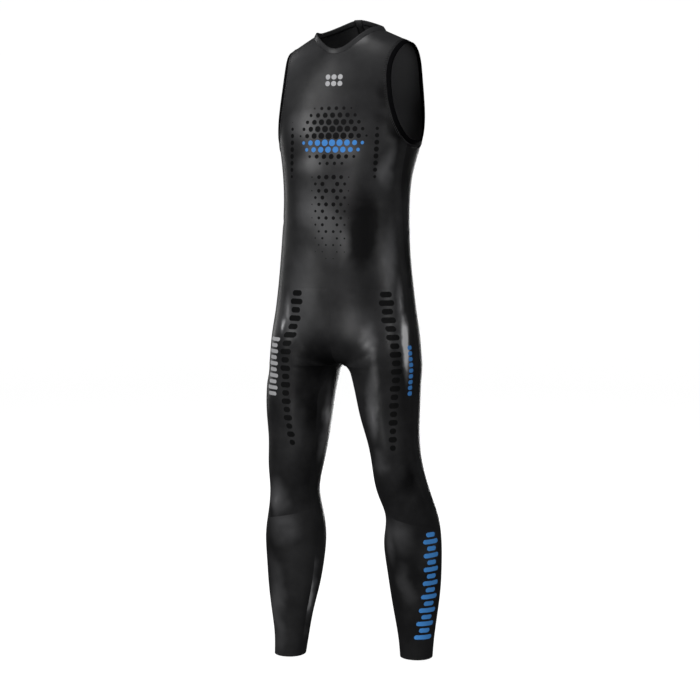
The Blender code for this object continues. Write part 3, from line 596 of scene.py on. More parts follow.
class Shader:
    def __init__(self, name):
        self.material = bpy.data.materials.new(name)
        self.material.use_nodes = True
        self.tree = self.material.node_tree
        self.surface = self.tree.nodes["Principled BSDF"]

    def make(self, kind, settings=None, sockets=None, output=0):  # settings first, then values or links
        node = self.tree.nodes.new(kind)
        for key, value in (settings or {}).items():
            setattr(node, key, value)
        for key, value in (sockets or {}).items():
            self.feed(node.inputs[key], value)
        return Wire(self, node.outputs[output])

    def feed(self, socket, value):
        if isinstance(value, Wire):
            self.tree.links.new(value.socket, socket)
        elif isinstance(value, (tuple, list)) and len(value) == 3 and socket.type == "RGBA":
            socket.default_value = (*value, 1)
        else:
            socket.default_value = value

    def spot(self):  # Object coordinates
        return self.make("ShaderNodeTexCoord", output="Object")

    def cloth(self):  # the piece's own map, in metres
        where = self.make("ShaderNodeUVMap", {"uv_map": "cloth"})
        return [self.make("ShaderNodeSeparateXYZ", None, {0: where}, output=axis) for axis in (0, 1)]

    def noise(self, vector, scale, detail=3.0, rough=0.5, output=0):
        sockets = {"Vector": vector, "Scale": scale, "Detail": detail, "Roughness": rough}
        return self.make("ShaderNodeTexNoise", None, sockets, output)

    def bent(self, vector, scale, reach):  # the same places, moved about by a slow noise
        wander = self.noise(vector, scale, 2.0, 0.5, output=1)
        sockets = {0: wander, 1: (2 * reach,) * 3, 2: (-reach,) * 3}
        moved = self.make("ShaderNodeVectorMath", {"operation": "MULTIPLY_ADD"}, sockets)
        return self.make("ShaderNodeVectorMath", {"operation": "ADD"}, {0: vector, 1: moved})

    def patch(self, vector, centre, radii):  # 1 in the middle of a place, 0 at its rim
        offset = tuple(-c / r for c, r in zip(centre, radii))
        sockets = {0: vector, 1: tuple(1 / r for r in radii), 2: offset}
        sized = self.make("ShaderNodeVectorMath", {"operation": "MULTIPLY_ADD"}, sockets)
        return self.make("ShaderNodeVectorMath", {"operation": "LENGTH"}, {0: sized}, 1).fade(1.0, 0.0)

    def blend(self, share, first, second):  # colours
        node = self.tree.nodes.new("ShaderNodeMix")
        node.data_type = "RGBA"
        self.feed(node.inputs[0], share)
        self.feed(node.inputs[6], first)
        self.feed(node.inputs[7], second)
        return Wire(self, node.outputs[2])

    def toned(self, share, name):  # from a finish's tone to its pale one
        return self.blend(share, tones[name], tones[name + "Pale"])

    def bump(self, height, distance, strength=1.0, under=None):
        sockets = {"Height": height, "Distance": distance, "Strength": strength}
        if under:
            sockets["Normal"] = under
        return self.make("ShaderNodeBump", None, sockets)

    def finish(self, colour, roughness, normal=None, others=None):
        self.feed(self.surface.inputs["Base Color"], colour)
        self.feed(self.surface.inputs["Roughness"], roughness)
        if normal:
            self.feed(self.surface.inputs["Normal"], normal)
        for name, value in (others or {}).items():
            self.feed(self.surface.inputs[name], value)
        return self.material

    def twoTone(self, look, tone, share, height=None, wear=0.0):  # wear makes it duller where it is pale
        normal = self.bump(height, look["relief"], look["strength"]) if height else None
        others = {"Specular IOR Level": look["specular"]}
        return self.finish(self.toned(share, tone), look["roughness"] + wear, normal, others)


# finishes
tones = dict(
    # skin runs to skinPale through random clouds and painted light, and past that to a near-white painted
    # highlight
    skin=(0.0030, 0.0030, 0.0032), skinPale=(0.052, 0.052, 0.054), paintedHighlight=(0.300, 0.300, 0.305),
    dark=(0.0022, 0.0023, 0.0024), silver=(0.230, 0.230, 0.236),
    # the calf's blue is the same print blue painted paler, as painted light for the calves
    blue=(0.034, 0.130, 0.330), calfPaintedLitBlue=(0.050, 0.195, 0.480),
    lining=(0.0240, 0.0240, 0.0250), liningPale=(0.0340, 0.0340, 0.0355),
    jersey=(0.0008, 0.0008, 0.0010), jerseyPale=(0.0022, 0.0022, 0.0025),
    thread=(0.0014, 0.0014, 0.0016), threadPale=(0.0060, 0.0060, 0.0066),
    tape=(0.0040, 0.0040, 0.0044), tapePale=(0.016, 0.016, 0.017),
    moulded=(0.008, 0.008, 0.009), mouldedPale=(0.018, 0.018, 0.020),
)
skinLook = dict(
    roughness=0.36, specular=0.035, coat=0.50, coatRoughness=0.30,
    clouds=0.10, cloudScale=7.0, cloudRange=(0.38, 0.68), cloudDull=0.07,
    smoke=0.06, smokeScale=21.0, smokeRange=(0.30, 0.75), smokeDull=0.05,
    rippleScale=60.0, rippleRelief=0.0006, poreScale=1400.0, poreRelief=0.00012,
    bend=0.024, bendScale=16.0, nudge=0.006, nudgeScale=40.0, waistBlend=0.11,
)
paintedLightLevels = dict(  # painted light: how pale each panel is painted for how light falls on it, before its clouds; at the waist seam two panels' painted light levels meet
    frontBody=0.13, sidePanel=0.03, backBody=0.12, frontThigh=0.07, seatThigh=0.09,
    shin=0.08, calf=0.09, collar=0.16,
)
acrossWaist = dict(
    frontBody="frontThigh", frontThigh="frontBody", backBody="seatThigh", seatThigh="backBody",
)
paintedPatchColumns = ("place", "radii", "strength")  # (u, v), then radii across and up in metres, then strength: above 0 a pale painted highlight, below 0 painted shade
paintedLightPatches = {  # painted highlights and painted shade laid into the satin skin's colour, pale and dark
    ("frontBody", "right"): (
        ((0.15, -0.62), (0.070, 0.070), 0.16),  # painted highlights on the chest, from the right shoulder down
        ((0.20, -0.40), (0.050, 0.100), 0.10),
        ((0.115, -0.09), (0.050, 0.044), 0.36),
        ((0.065, 0.10), (0.052, 0.044), 0.60),
        ((0.10, 0.36), (0.048, 0.070), 0.52),
        ((0.015, 0.46), (0.044, 0.105), 0.46),
        ((0.14, 0.80), (0.064, 0.080), 0.40),
    ),
    ("frontBody", "left"): (
        ((0.06, -0.42), (0.080, 0.080), 0.05),
        ((0.035, 0.02), (0.050, 0.044), 0.44),
        ((0.305, 0.115), (0.028, 0.080), 0.80),
        ((0.05, 0.56), (0.026, 0.060), 0.34),
        ((0.315, 0.72), (0.024, 0.130), 0.56),
        ((0.16, 0.50), (0.060, 0.120), -0.28),
        ((0.26, -0.16), (0.034, 0.090), -0.18),  # painted shade beside the left armhole
        ((0.33, -0.03), (0.040, 0.070), -0.20),
        ((0.02, -0.66), (0.060, 0.030), 0.55),  # painted highlight below the neck band
    ),
    ("sidePanel", "left"): (
        ((0.50, 0.45), (0.050, 0.110), 0.10),
    ),
    ("sidePanel", "right"): (
        ((0.50, 0.35), (0.050, 0.110), 0.16),
    ),
    ("backBody", "left"): (
        ((0.80, -0.25), (0.075, 0.085), 0.34),  # painted highlights on the shoulder blades
        ((0.88, 0.45), (0.050, 0.090), -0.16),
        ((0.80, 0.80), (0.060, 0.050), 0.30),
    ),
    ("backBody", "right"): (
        ((0.79, -0.22), (0.070, 0.080), 0.30),
        ((0.86, 0.40), (0.045, 0.080), 0.20),
        ((0.83, 0.84), (0.055, 0.045), 0.24),
    ),
    ("frontThigh", "right"): (
        ((0.14, 1.05), (0.080, 0.090), 0.42),  # painted highlights on the hips
        ((0.30, 1.20), (0.040, 0.080), 0.30),
        ((0.08, 1.75), (0.080, 0.070), -0.12),  # painted shade at the crotch and inner thighs
        ((0.15, 2.12), (0.060, 0.110), -0.12),
        ((0.215, 1.02), (0.016, 0.050), 0.85),
        ((0.255, 1.27), (0.010, 0.036), 1.30),
        ((0.20, 2.20), (0.026, 0.110), 0.12),
        ((0.31, 2.45), (0.040, 0.060), 0.95),
    ),
    ("frontThigh", "left"): (
        ((0.10, 1.10), (0.070, 0.060), 0.18),
        ((0.19, 1.46), (0.026, 0.060), 0.62),
        ((0.22, 2.13), (0.022, 0.100), 0.62),
        ((0.21, 2.31), (0.026, 0.044), 0.60),
        ((0.36, 2.36), (0.040, 0.060), -0.14),
        ((0.408, 1.60), (0.018, 0.105), 2.50),  # painted highlight beside the blue ladder
        ((0.38, 1.40), (0.026, 0.090), 0.55),
        ((0.36, 0.94), (0.014, 0.070), 1.00),
        ((0.255, 2.03), (0.016, 0.050), 0.42),
        ((0.230, 2.165), (0.014, 0.060), 0.46),
    ),
    ("seatThigh", "right"): (
        ((0.78, 1.60), (0.085, 0.080), 0.30),  # painted highlights on the seat and the back of the thighs
        ((0.72, 2.25), (0.040, 0.110), 0.24),
        ((1.025, 2.20), (0.030, 0.130), 1.30),
    ),
    ("seatThigh", "left"): (
        ((0.76, 1.62), (0.085, 0.080), 0.32),
        ((0.74, 2.22), (0.040, 0.110), 0.26),
    ),
    ("shin", "right"): (
        ((0.28, 2.54), (0.060, 0.060), 0.52),  # painted highlights below the knees
        ((0.33, 2.84), (0.034, 0.160), 0.62),
    ),
    ("shin", "left"): (
        ((0.22, 2.55), (0.056, 0.060), 0.55),
        ((0.24, 2.74), (0.030, 0.130), 0.38),
        ((0.155, 2.60), (0.020, 0.060), 0.50),
        ((0.40, 2.62), (0.030, 0.070), 0.18),
    ),
    ("calf", "right"): (
        ((0.76, 2.66), (0.050, 0.100), 0.32),
        ((1.065, 2.80), (0.028, 0.140), 1.45),
    ),
    ("calf", "left"): (
        ((0.74, 2.66), (0.050, 0.100), 0.34),
    ),
}


def paintedPatchesOn(panel, halves):  # a panel's own painted highlight and painted shade patches, and those past the waist seam that reach over it
    for (owner, half), rows in paintedLightPatches.items():
        for row in rows:
            paintedPatch = dict(zip(paintedPatchColumns, row))
            centre = tuple(float(c) for c in place(*paintedPatch["place"], half))
            reaches = abs(centre[2] - seams["abdomen"]) < paintedPatch["radii"][1]
            lent = owner == acrossWaist.get(panel) and reaches
            if half in halves and (owner == panel or lent):
                yield paintedPatch, centre


def skinBase(shader, panel, halves):  # satin skin: random smoky clouds, pores and fine ripples, with painted light levels, painted highlights and painted shade in its colour
    look = skinLook
    spot = shader.spot()
    clouds = shader.noise(spot, look["cloudScale"], 4.0, 0.55).fade(*look["cloudRange"])
    smoke = shader.noise(spot, look["smokeScale"], 5.0, 0.6).fade(*look["smokeRange"])
    # random clouds and smoke, plus this panel's painted light level
    share = clouds * look["clouds"] + smoke * look["smoke"] + paintedLightLevels[panel]
    # painted light: near the waist seam each panel's painted light level is blended towards its neighbour's
    if panel in acrossWaist:
        height = shader.make("ShaderNodeSeparateXYZ", None, {0: spot}, output=2)
        near = abs(height - seams["abdomen"]).fade(look["waistBlend"], 0.0)
        share = share + near * ((paintedLightLevels[acrossWaist[panel]] - paintedLightLevels[panel]) / 2)
    moved = shader.bent(spot, look["bendScale"], look["bend"])
    nudged = shader.bent(spot, look["nudgeScale"], look["nudge"])  # small painted patches stay closer to their places
    # painted highlights and painted shade, one patch at a time, added to the share
    for paintedPatch, centre in paintedPatchesOn(panel, halves):
        across, up = paintedPatch["radii"]
        spread = moved if across > look["bend"] else nudged
        share = shader.patch(spread, centre, (across, across, up)) * paintedPatch["strength"] + share
    share = share.highest(0.0)
    # painted highlight: where painted patches push the share past 1, the colour runs on from the pale skin to
    # a near-white painted highlight
    colour = shader.blend(share - 1.0, shader.toned(share, "skin"), tones["paintedHighlight"])
    roughness = look["roughness"] + clouds * look["cloudDull"] + smoke * look["smokeDull"]
    normal = shader.bump(shader.noise(spot, look["rippleScale"]), look["rippleRelief"], 0.45)
    pores = shader.noise(spot, look["poreScale"], 2.0)
    normal = shader.bump(pores, look["poreRelief"], 0.35, under=normal)
    return colour, roughness, normal, share.lowest(1.0) * look["coat"]


def skinFinish(name, panel, halves, painter=None):  # satin skin, and any matt prints laid over it
    shader = Shader(name)
    colour, roughness, normal, coat = skinBase(shader, panel, halves)
    for mask, tone in painter(*shader.cloth()) if painter else ():
        bare = 1.0 - mask
        colour = shader.blend(mask, colour, tones[tone])
        roughness = roughness * bare + mask * prints["dull"]
        coat = coat * bare
    others = {"Specular IOR Level": skinLook["specular"], "Coat Roughness": skinLook["coatRoughness"]}
    return shader.finish(colour, roughness, normal, {**others, "Coat Weight": coat})


looks = dict(  # waves in radians a metre, noise in cells a metre, relief in metres
    lining=dict(ribs=4200.0, rows=3000.0, roughness=0.85, relief=0.0002, strength=0.5, specular=0.03),
    jersey=dict(ribs=1900.0, rows=2600.0, spots=90.0, roughness=0.62, relief=0.00025, strength=0.5,
                specular=0.01),
    thread=dict(twist=900.0, roughness=0.55, relief=0.0001, strength=0.5, specular=0.25),
    tape=dict(twill=3600.0, roughness=0.80, relief=0.0002, strength=0.6, specular=0.30),
    coil=dict(wear=300.0, roughness=0.34, specular=0.50),
    moulded=dict(wear=140.0, grain=1600.0, roughness=0.36, relief=0.00008, strength=0.4, specular=0.50),
)


def liningFinish():
    look, shader = looks["lining"], Shader("liningJersey")
    x, y = shader.cloth()
    ribs = x.wave(look["ribs"]) * ((y * look["rows"]).sine() * 0.3 + 0.7)
    return shader.twoTone(look, "lining", ribs, ribs)


def jerseyFinish():
    look, shader = looks["jersey"], Shader("bindingJersey")
    x, y = shader.cloth()
    ribs = x.wave(look["ribs"])
    knit = ribs * y.wave(look["rows"])
    spots = shader.noise(shader.spot(), look["spots"], 3.0)
    return shader.twoTone(look, "jersey", ribs * 0.35 + spots * 0.35, knit, spots * 0.1)


def threadFinish():
    look, shader = looks["thread"], Shader("blackThread")
    twist = shader.noise(shader.spot(), look["twist"], 2.0)
    return shader.twoTone(look, "thread", twist, twist, twist * 0.1)


def tapeFinish():
    look, shader = looks["tape"], Shader("wovenTape")
    x, y = shader.cloth()
    weave = (x + y).wave(look["twill"]) * (x - y).wave(look["twill"])
    return shader.twoTone(look, "tape", weave, weave)


def coilFinish():
    look, shader = looks["coil"], Shader("nylonCoil")
    worn = shader.noise(shader.spot(), look["wear"], 2.0)
    return shader.twoTone(look, "moulded", worn, None, worn * 0.12)


def mouldedFinish():
    look, shader = looks["moulded"], Shader("mouldedPlastic")
    grain = shader.noise(shader.spot(), look["grain"], 2.0)
    wear = shader.noise(shader.spot(), look["wear"], 3.0)
    return shader.twoTone(look, "moulded", wear, grain, wear * 0.12)


# piece helpers
def keep(piece, body, slot, *nodes):  # common last steps of a new piece
    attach(piece, body)
    if nodes:
        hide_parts(*nodes)
    return piece


def objectFrom(name, bm, *finishes):
    mesh = bpy.data.meshes.new(name)
    for face in bm.faces:
        face.smooth = True
    bm.to_mesh(mesh)
    bm.free()
    for finish in finishes:
        mesh.materials.append(finish)
    return linked(name, mesh)


ringSteps = dict(reach=1.2, across=361, down=241)
ringTables = {}


def alongRing(u, v, half):  # distance round the ring from u = 0, in metres
    if half not in ringTables:
        us = np.linspace(0, ringSteps["reach"], ringSteps["across"])
        vs = np.linspace(-1, 3, ringSteps["down"])
        points = place(*np.meshgrid(us, vs), half)
        steps = np.linalg.norm(np.diff(points, axis=1), axis=-1)
        ringTables[half] = us, vs, np.concatenate([np.zeros((len(vs), 1)), np.cumsum(steps, 1)], 1)
    us, vs, table = ringTables[half]
    row, col = (v - vs[0]) / (vs[1] - vs[0]), (u - us[0]) / (us[1] - us[0])
    k = np.clip(row.astype(int), 0, len(vs) - 2)
    j = np.clip(col.astype(int), 0, len(us) - 2)
    a, b = row - k, col - j
    return ((table[k, j] * (1 - b) + table[k, j + 1] * b) * (1 - a)
            + (table[k + 1, j] * (1 - b) + table[k + 1, j + 1] * b) * a)


cloth = dict(
    rowSteps=5, widthSteps=33, edge=0.0014, mostShare=0.45, groove=0.00005, gap=0.00001, leastWidth=0.012,
)


def nearEnd(edge, first, second, half, reach):  # a place this far inside an edge's end
    span = np.linalg.norm(place(*edge[first], half) - place(*edge[second], half))
    return mix(edge[first], edge[second], min(reach / max(span, 1e-4), cloth["mostShare"]))


def panelGrid(part, columns, half, seamAt):  # fine places of one panel, with close rows along its seams
    left, right, corners = part
    sized = []
    for edge in (left, right):
        edge = np.array(refined(edge, corners, cloth["rowSteps"]))
        top = [edge[0], nearEnd(edge, 0, 1, half, cloth["edge"])]
        bottom = [nearEnd(edge, -1, -2, half, cloth["edge"]), edge[-1]]
        if "start" in seamAt:
            top[0] = nearEnd(edge, 0, 1, half, cloth["gap"])
        if "end" in seamAt:
            bottom[1] = nearEnd(edge, -1, -2, half, cloth["gap"])
        sized.append(np.array([*top, *edge[1:-1], *bottom]))
    grid = []
    for a, b in zip(*sized):
        t = np.linspace(0, 1, cloth["widthSteps"])
        path = place(mix(a[0], b[0], t), mix(a[1], b[1], t), half)
        width = max(np.linalg.norm(np.diff(path, axis=0), axis=-1).sum(), cloth["leastWidth"])
        low = cloth["gap"] / width if "left" in seamAt else 0
        high = cloth["gap"] / width if "right" in seamAt else 0
        step = cloth["edge"] / width
        shares = np.array([low, step, *np.linspace(0, 1, columns + 1)[1:-1], 1 - step, 1 - high])[:, None]
        grid.append(a * (1 - shares) + b * shares)
    return np.array(grid)


rims = dict(start=np.s_[0], end=np.s_[-1], left=np.s_[:, 0], right=np.s_[:, -1])


def layPatch(bm, grid, half, seamAt, mapFrom, mirrored):  # a create_grid laid on the form, mapped in metres
    layer = bm.loops.layers.uv.get("cloth") or bm.loops.layers.uv.new("cloth")
    u, v = grid[..., 0], grid[..., 1]
    points, normals = place(u, v, half), outward(u, v, half)
    rows, columns = u.shape
    lift = creasedHeight(points.reshape(-1, 3), half).reshape(rows, columns)
    rim = np.zeros((rows, columns))
    for name in seamAt:
        rim[rims[name]] = 1
    points = points + normals * (lift - rim * cloth["groove"])[..., None]
    start = alongRing(np.full_like(u, mapFrom), v, half)
    across = (alongRing(u, v, half) - start) * (sides[half] if mirrored else 1)
    made = bmesh.ops.create_grid(bm, x_segments=columns - 1, y_segments=rows - 1, size=1)
    where = {}
    for vert in made["verts"]:
        k, j = round((vert.co.y + 1) / 2 * (rows - 1)), round((vert.co.x + 1) / 2 * (columns - 1))
        vert.co = points[k, j]
        where[vert] = (k, j)
    turned = []
    for face in {face for vert in made["verts"] for face in vert.link_faces}:
        face.normal_update()
        if face.normal.dot(Vector(sum(normals[where[vert]] for vert in face.verts))) < 0:
            turned.append(face)
        for loop in face.loops:
            loop[layer].uv = (across[where[loop.vert]], points[where[loop.vert]][2])
    bmesh.ops.reverse_faces(bm, faces=turned)
    wide, long = (np.linalg.norm(np.diff(points, axis=axis), axis=-1).sum(axis).max() for axis in (1, 0))
    return wide, long


def clothPiece(pieceName, name, halves, outside):
    cut = cuts[name]
    bm = bmesh.new()
    spans = []
    for half in halves:
        grid = panelGrid(panels[name], cut["columns"], half, cut["seams"])
        spans.append(layPatch(bm, grid, half, cut["seams"], cut["mapFrom"], len(halves) == 2))
    bmesh.ops.remove_doubles(bm, verts=bm.verts, dist=1e-5)
    for edge in bm.edges:  # the cut edges stay crisp
        edge.smooth = not edge.is_boundary
    area = sum(face.calc_area() for face in bm.faces)
    print(pieceName, "shows", [round(float(c), 3) for c in (sum(w for w, _ in spans), spans[0][1], area)])
    piece = objectFrom(pieceName, bm, outside, lining)
    solid = piece.modifiers.new("wall", "SOLIDIFY")  # the cloth's thickness, lined inside
    solid.thickness = form["wall"]
    solid.offset = -1
    solid.use_even_offset = False
    solid.material_offset = 1
    solid.material_offset_rim = 1
    return piece


# prints, all generic: fields of dots and ladders of rounded bars
prints = dict(
    soft=0.00022, dull=0.60, dotPitch=0.0168, dotRise=0.866, dotRadius=0.0072, leastDot=0.0011,
    chestCentre=-0.224, chestHalfWidth=0.080, chestHalfHeight=0.070,
    bellyHalfWidth=0.044, bellyTop=-0.308, bellyEnd=-0.520, bellyShare=0.5,
    blueLow=-0.262, blueHigh=-0.236, bellyNear=0.004,
    sideAt=0.098, sidePitch=0.0145, sideLow=-0.325, sideHigh=-0.195, sideRadius=0.0054,
    badgeHeight=-0.108, badgePitch=0.0140, badgeRadius=0.0055,
)
ladderColumns = ("centre", "low", "high", "reach", "bar", "pitch", "taper", "stagger")
ladders = dict(  # place across, lowest and highest bar, half width and half height of a bar, and the rest
    hipRight=(-0.128, -0.905, -0.548, 0.0175, 0.0062, 0.0185, 1.5, 0.25),
    hipLeft=(-0.084, -0.905, -0.548, 0.0185, 0.0062, 0.0185, 1.5, 0.25),
    silverRight=(-0.088, -0.795, -0.655, 0.0190, 0.0042, 0.0135, 0.0, 0.22),
    blueLeft=(-0.042, -0.785, -0.680, 0.0075, 0.0046, 0.0125, 0.0, 0.0),
    calfLeft=(-0.036, -1.345, -1.085, 0.0215, 0.0054, 0.0165, 0.0, 0.40),
)


def edgeOf(distance):  # 1 inside, 0 outside, soft over a fraction of a millimetre
    return distance.fade(-prints["soft"], prints["soft"])


def dotField(x, y, pitch):  # distance from the nearest dot's centre, and that centre
    rise = pitch * prints["dotRise"]
    row = (y / rise).floor()
    offX = ((x / pitch + row * 0.5).part() - 0.5) * pitch
    offY = ((y / rise).part() - 0.5) * rise
    return (offX * offX + offY * offY).root(), x - offX, y - offY


def inside(value, low, high):
    return value.above(low) * value.below(high)


def barLadder(x, y, name):  # rounded bars, one above another, every second one shorter
    ladder = dict(zip(ladderColumns, ladders[name]))
    pitch, bar = ladder["pitch"], ladder["bar"]
    off = ((y / pitch).part() - 0.5) * pitch
    middle = y - off
    odd = ((y / pitch).floor() * 0.5).part() * 2.0
    reach = ladder["reach"] * (1.0 - odd * ladder["stagger"])
    if ladder["taper"]:
        reach = reach * (1.0 - (ladder["high"] - middle) * ladder["taper"])
    past = (abs(x - ladder["centre"]) - (reach - bar)).highest(0.0)
    return edgeOf(bar - (past * past + off * off).root()) * inside(middle, ladder["low"], ladder["high"])


def chestPrint(x, y):
    p = prints
    away, middleX, middleY = dotField(x, y, p["dotPitch"])
    wide, tall = middleX / p["chestHalfWidth"], (middleY - p["chestCentre"]) / p["chestHalfHeight"]
    chest = (1.0 - (wide * wide + tall * tall)).highest(0.0)
    narrow = middleX / p["bellyHalfWidth"]
    shrink = middleY.fade(p["bellyEnd"], p["bellyTop"])
    belly = (1.0 - narrow * narrow).highest(0.0) * shrink * p["bellyShare"]
    belly = belly * middleY.below(p["bellyTop"]) * abs(middleX).above(p["bellyNear"])
    size = chest.highest(belly).root() * p["dotRadius"]
    dots = edgeOf(size - away) * size.above(p["leastDot"])
    blue = dots * inside(middleY, p["blueLow"], p["blueHigh"])
    sideY = ((y / p["sidePitch"]).part() - 0.5) * p["sidePitch"]
    rowY = y - sideY
    rowX = abs(x) - p["sideAt"]
    spread = (rowY - p["sideLow"]) * (p["sideHigh"] - rowY) * (4.0 / (p["sideHigh"] - p["sideLow"])**2)
    column = edgeOf(spread.highest(0.0).root() * p["sideRadius"] - (rowX * rowX + sideY * sideY).root())
    column = column * inside(rowY, p["sideLow"], p["sideHigh"])
    badgeX = ((x / p["badgePitch"] + 0.5).part() - 0.5) * p["badgePitch"]
    badgeY = abs(y - p["badgeHeight"]) - p["badgePitch"] / 2
    badge = edgeOf(p["badgeRadius"] - (badgeX * badgeX + badgeY * badgeY).root())
    badge = badge * abs(x).below(p["badgePitch"] * 1.5)
    return (dots.highest(column), "dark"), (blue, "blue"), (badge, "silver")


def thighRightPrint(x, y):
    return (barLadder(x, y, "hipRight"), "dark"), (barLadder(x, y, "silverRight"), "silver")


def thighLeftPrint(x, y):
    return (barLadder(x, y, "hipLeft"), "dark"), (barLadder(x, y, "blueLeft"), "blue")


def calfPrint(x, y):
    # the calf ladder uses the print blue painted paler, as painted light
    return ((barLadder(x, y, "calfLeft"), "calfPaintedLitBlue"),)


lining = liningFinish()
print("finishes ready")

panels = panelEdges()
around = ("start", "end", "left", "right")
openBelow = ("start", "left", "right")
cuts = dict(  # for each panel its columns, seams, where its map starts, slot, node, flat cut and prints
    frontBody=dict(columns=34, seams=("start", "end", "right"), mapFrom=0.0, slot="smooth_neoprene",
                   node="front_body", flat=(0.38, 0.65), area=0.174, prints={"": chestPrint}),
    sidePanel=dict(columns=8, seams=around, mapFrom=0.5, slot="panel_neoprene",
                   node="side_panel_", flat=(0.09, 0.32), area=0.018, prints={}),
    backBody=dict(columns=34, seams=around, mapFrom=1.0, slot="smooth_neoprene",
                  node="back_body_", flat=(0.205, 0.69), area=0.090, prints={}),
    frontThigh=dict(columns=34, seams=around, mapFrom=0.5, slot="smooth_neoprene",
                    node="front_thigh_", flat=(0.27, 0.62), area=0.094,
                    prints={"left": thighLeftPrint, "right": thighRightPrint}),
    seatThigh=dict(columns=46, seams=around, mapFrom=0.5, slot="panel_neoprene",
                   node="seat_thigh_", flat=(0.34, 0.63), area=0.144, prints={}),
    shin=dict(columns=26, seams=openBelow, mapFrom=0.5, slot="smooth_neoprene",
              node="shin_", flat=(0.165, 0.36), area=0.045, prints={"left": calfPrint}),
    calf=dict(columns=40, seams=openBelow, mapFrom=0.5, slot="panel_neoprene",
              node="calf_", flat=(0.26, 0.36), area=0.070, prints={"left": calfPrint}),
)


def buildPanels():
    for name, cut in cuts.items():
        for halves in ((("left", "right"),) if name == "frontBody" else (("left",), ("right",))):
            half = halves[0] if len(halves) == 1 else ""
            pieceName = name + half.capitalize()
            outside = skinFinish(pieceName + "Skin", name, halves, cut["prints"].get(half))
            keep(clothPiece(pieceName, name, halves, outside), "garment", cut["slot"], cut["node"] + half)


# bands and threads
def framesAlong(places, closed):  # point, way out and way into the opening, along a seam
    points = np.array([place(u, v, half) for u, v, half in places])
    normals = np.array([outward(u, v, half) for u, v, half in places])
    centre = points.mean(0)
    result = []
    for k, (point, normal) in enumerate(zip(points, normals)):
        before = points[k - 1] if k or closed else point
        after = points[(k + 1) % len(points)] if k < len(points) - 1 or closed else point
        into = np.cross(normal, after - before)
        into /= np.linalg.norm(into)
        if into @ (centre - point) < 0:
            into = -into
        result.append((Vector(point), Vector(normal), Vector(into)))
    return result


def distances(points, closed=False):  # from the first point to each, and round to it again where closed
    path = [Vector(point) for point in points]
    if closed:
        path.append(path[0])
    return np.concatenate([[0], np.cumsum([(b - a).length for a, b in zip(path[:-1], path[1:])])])


def stretchAt(lengths, distance):  # which stretch of a path, and how far along it
    index = min(int(np.searchsorted(lengths, distance, "right")) - 1, len(lengths) - 2)
    return index, (distance - lengths[index]) / (lengths[index + 1] - lengths[index])


def vertsIn(items):
    return [item for item in items if isinstance(item, bmesh.types.BMVert)]


def ringEdges(bm, ring):
    return [bm.edges.get(pair) for pair in zip(ring, ring[1:] + ring[:1])]


def grownRing(bm, ring):  # the ring extruded, its points in the same order
    grown = bmesh.ops.extrude_edge_only(bm, edges=ringEdges(bm, ring))["geom"]
    follow = {}
    for vert in vertsIn(grown):
        for edge in vert.link_edges:
            if edge.other_vert(vert) in ring:
                follow[edge.other_vert(vert)] = vert
    return [follow[vert] for vert in ring]


def sweepBand(name, sections, closed, finish):  # a ring of points drawn along its stations
    bm = bmesh.new()
    layer = bm.loops.layers.uv.new("cloth")
    count = len(sections[0])
    ring = bmesh.ops.create_circle(bm, segments=count, radius=1)["verts"]
    rings = []
    for k, places in enumerate(sections):
        if k:
            ring = grownRing(bm, ring)
        for vert, co in zip(ring, places):
            vert.co = co
        rings.append(ring)
    if closed:
        bmesh.ops.bridge_loops(bm, edges=ringEdges(bm, rings[0]) + ringEdges(bm, rings[-1]))
    else:
        for end in (rings[0], rings[-1]):
            bmesh.ops.contextual_create(bm, geom=ringEdges(bm, end))
    where = {vert: (k, j) for k, r in enumerate(rings) for j, vert in enumerate(r)}
    along = distances([places[0] for places in sections])
    girth = distances(sections[0], True)
    for face in bm.faces:
        ks, js = {where[v][0] for v in face.verts}, {where[v][1] for v in face.verts}
        for loop in face.loops:
            k, j = where[loop.vert]
            station = along[-1] + along[1] if k == 0 and len(sections) - 1 in ks else along[k]
            loop[layer].uv = (station, girth[count] if j == 0 and count - 1 in js else girth[j])
    bmesh.ops.recalc_face_normals(bm, faces=bm.faces)
    return objectFrom(name, bm, finish)


def threadPiece(name, points, radius, closed, finish):  # a thin thread through these points
    curve = bpy.data.curves.new(name, "CURVE")
    curve.dimensions = "3D"
    curve.bevel_depth = radius
    curve.bevel_resolution = 1
    curve.use_fill_caps = not closed
    line = curve.splines.new("POLY")
    line.points.add(len(points) - 1)
    for spot, co in zip(line.points, points):
        spot.co = (*co, 1)
    line.use_cyclic_u = closed
    holder = linked(name, curve)
    bpy.context.view_layer.update()
    mesh = bpy.data.meshes.new_from_object(holder.evaluated_get(bpy.context.evaluated_depsgraph_get()))
    bpy.data.objects.remove(holder)
    bpy.data.curves.remove(curve)
    mesh.name = name
    mesh.materials.clear()
    mesh.materials.append(finish)
    mesh.shade_smooth()
    return linked(name, mesh)


binding = dict(
    width=0.0105, wall=0.0042, gap=0.00015, rowSteps=4, foot=((0.0, 0.72), (0.0012, 0.98)),
    threadRadius=0.00068, stitchPitch=0.0048,
    stitch=(  # share of the pitch, distance from the seam, height over the cloth
        (0.0, 0.0014, 0.0005), (0.42, 0.0062, 0.0005), (0.52, 0.0062, -0.0012), (0.90, 0.0014, -0.0012),
    ),
)


def roundedBand(width, wall, depth):  # section of a folded band: along the opening's way in, and out
    half = wall / 2
    middle = -depth / 2
    bow = []
    for angle in (math.radians(30 * step) for step in range(7)):
        bow.append((width - half + half * math.sin(angle), middle + half * math.cos(angle)))
    foot = [(along, half * share) for along, share in binding["foot"]]
    under = [(along, middle - high) for along, high in reversed(foot)]
    return [(along, middle + high) for along, high in foot] + bow + under


def armholePlaces(half):
    front, back = (refined(armholeSeam(part), (), binding["rowSteps"]) for part in ("front", "back"))
    return [(u, v, half) for u, v in front[::-1] + back[1:-1]]


def stripSheet(piece, width, length):  # a band is one long strip, as wide as it shows
    flat = (round(width, 4), round(length, 3))
    print(piece.name, "strip", flat)


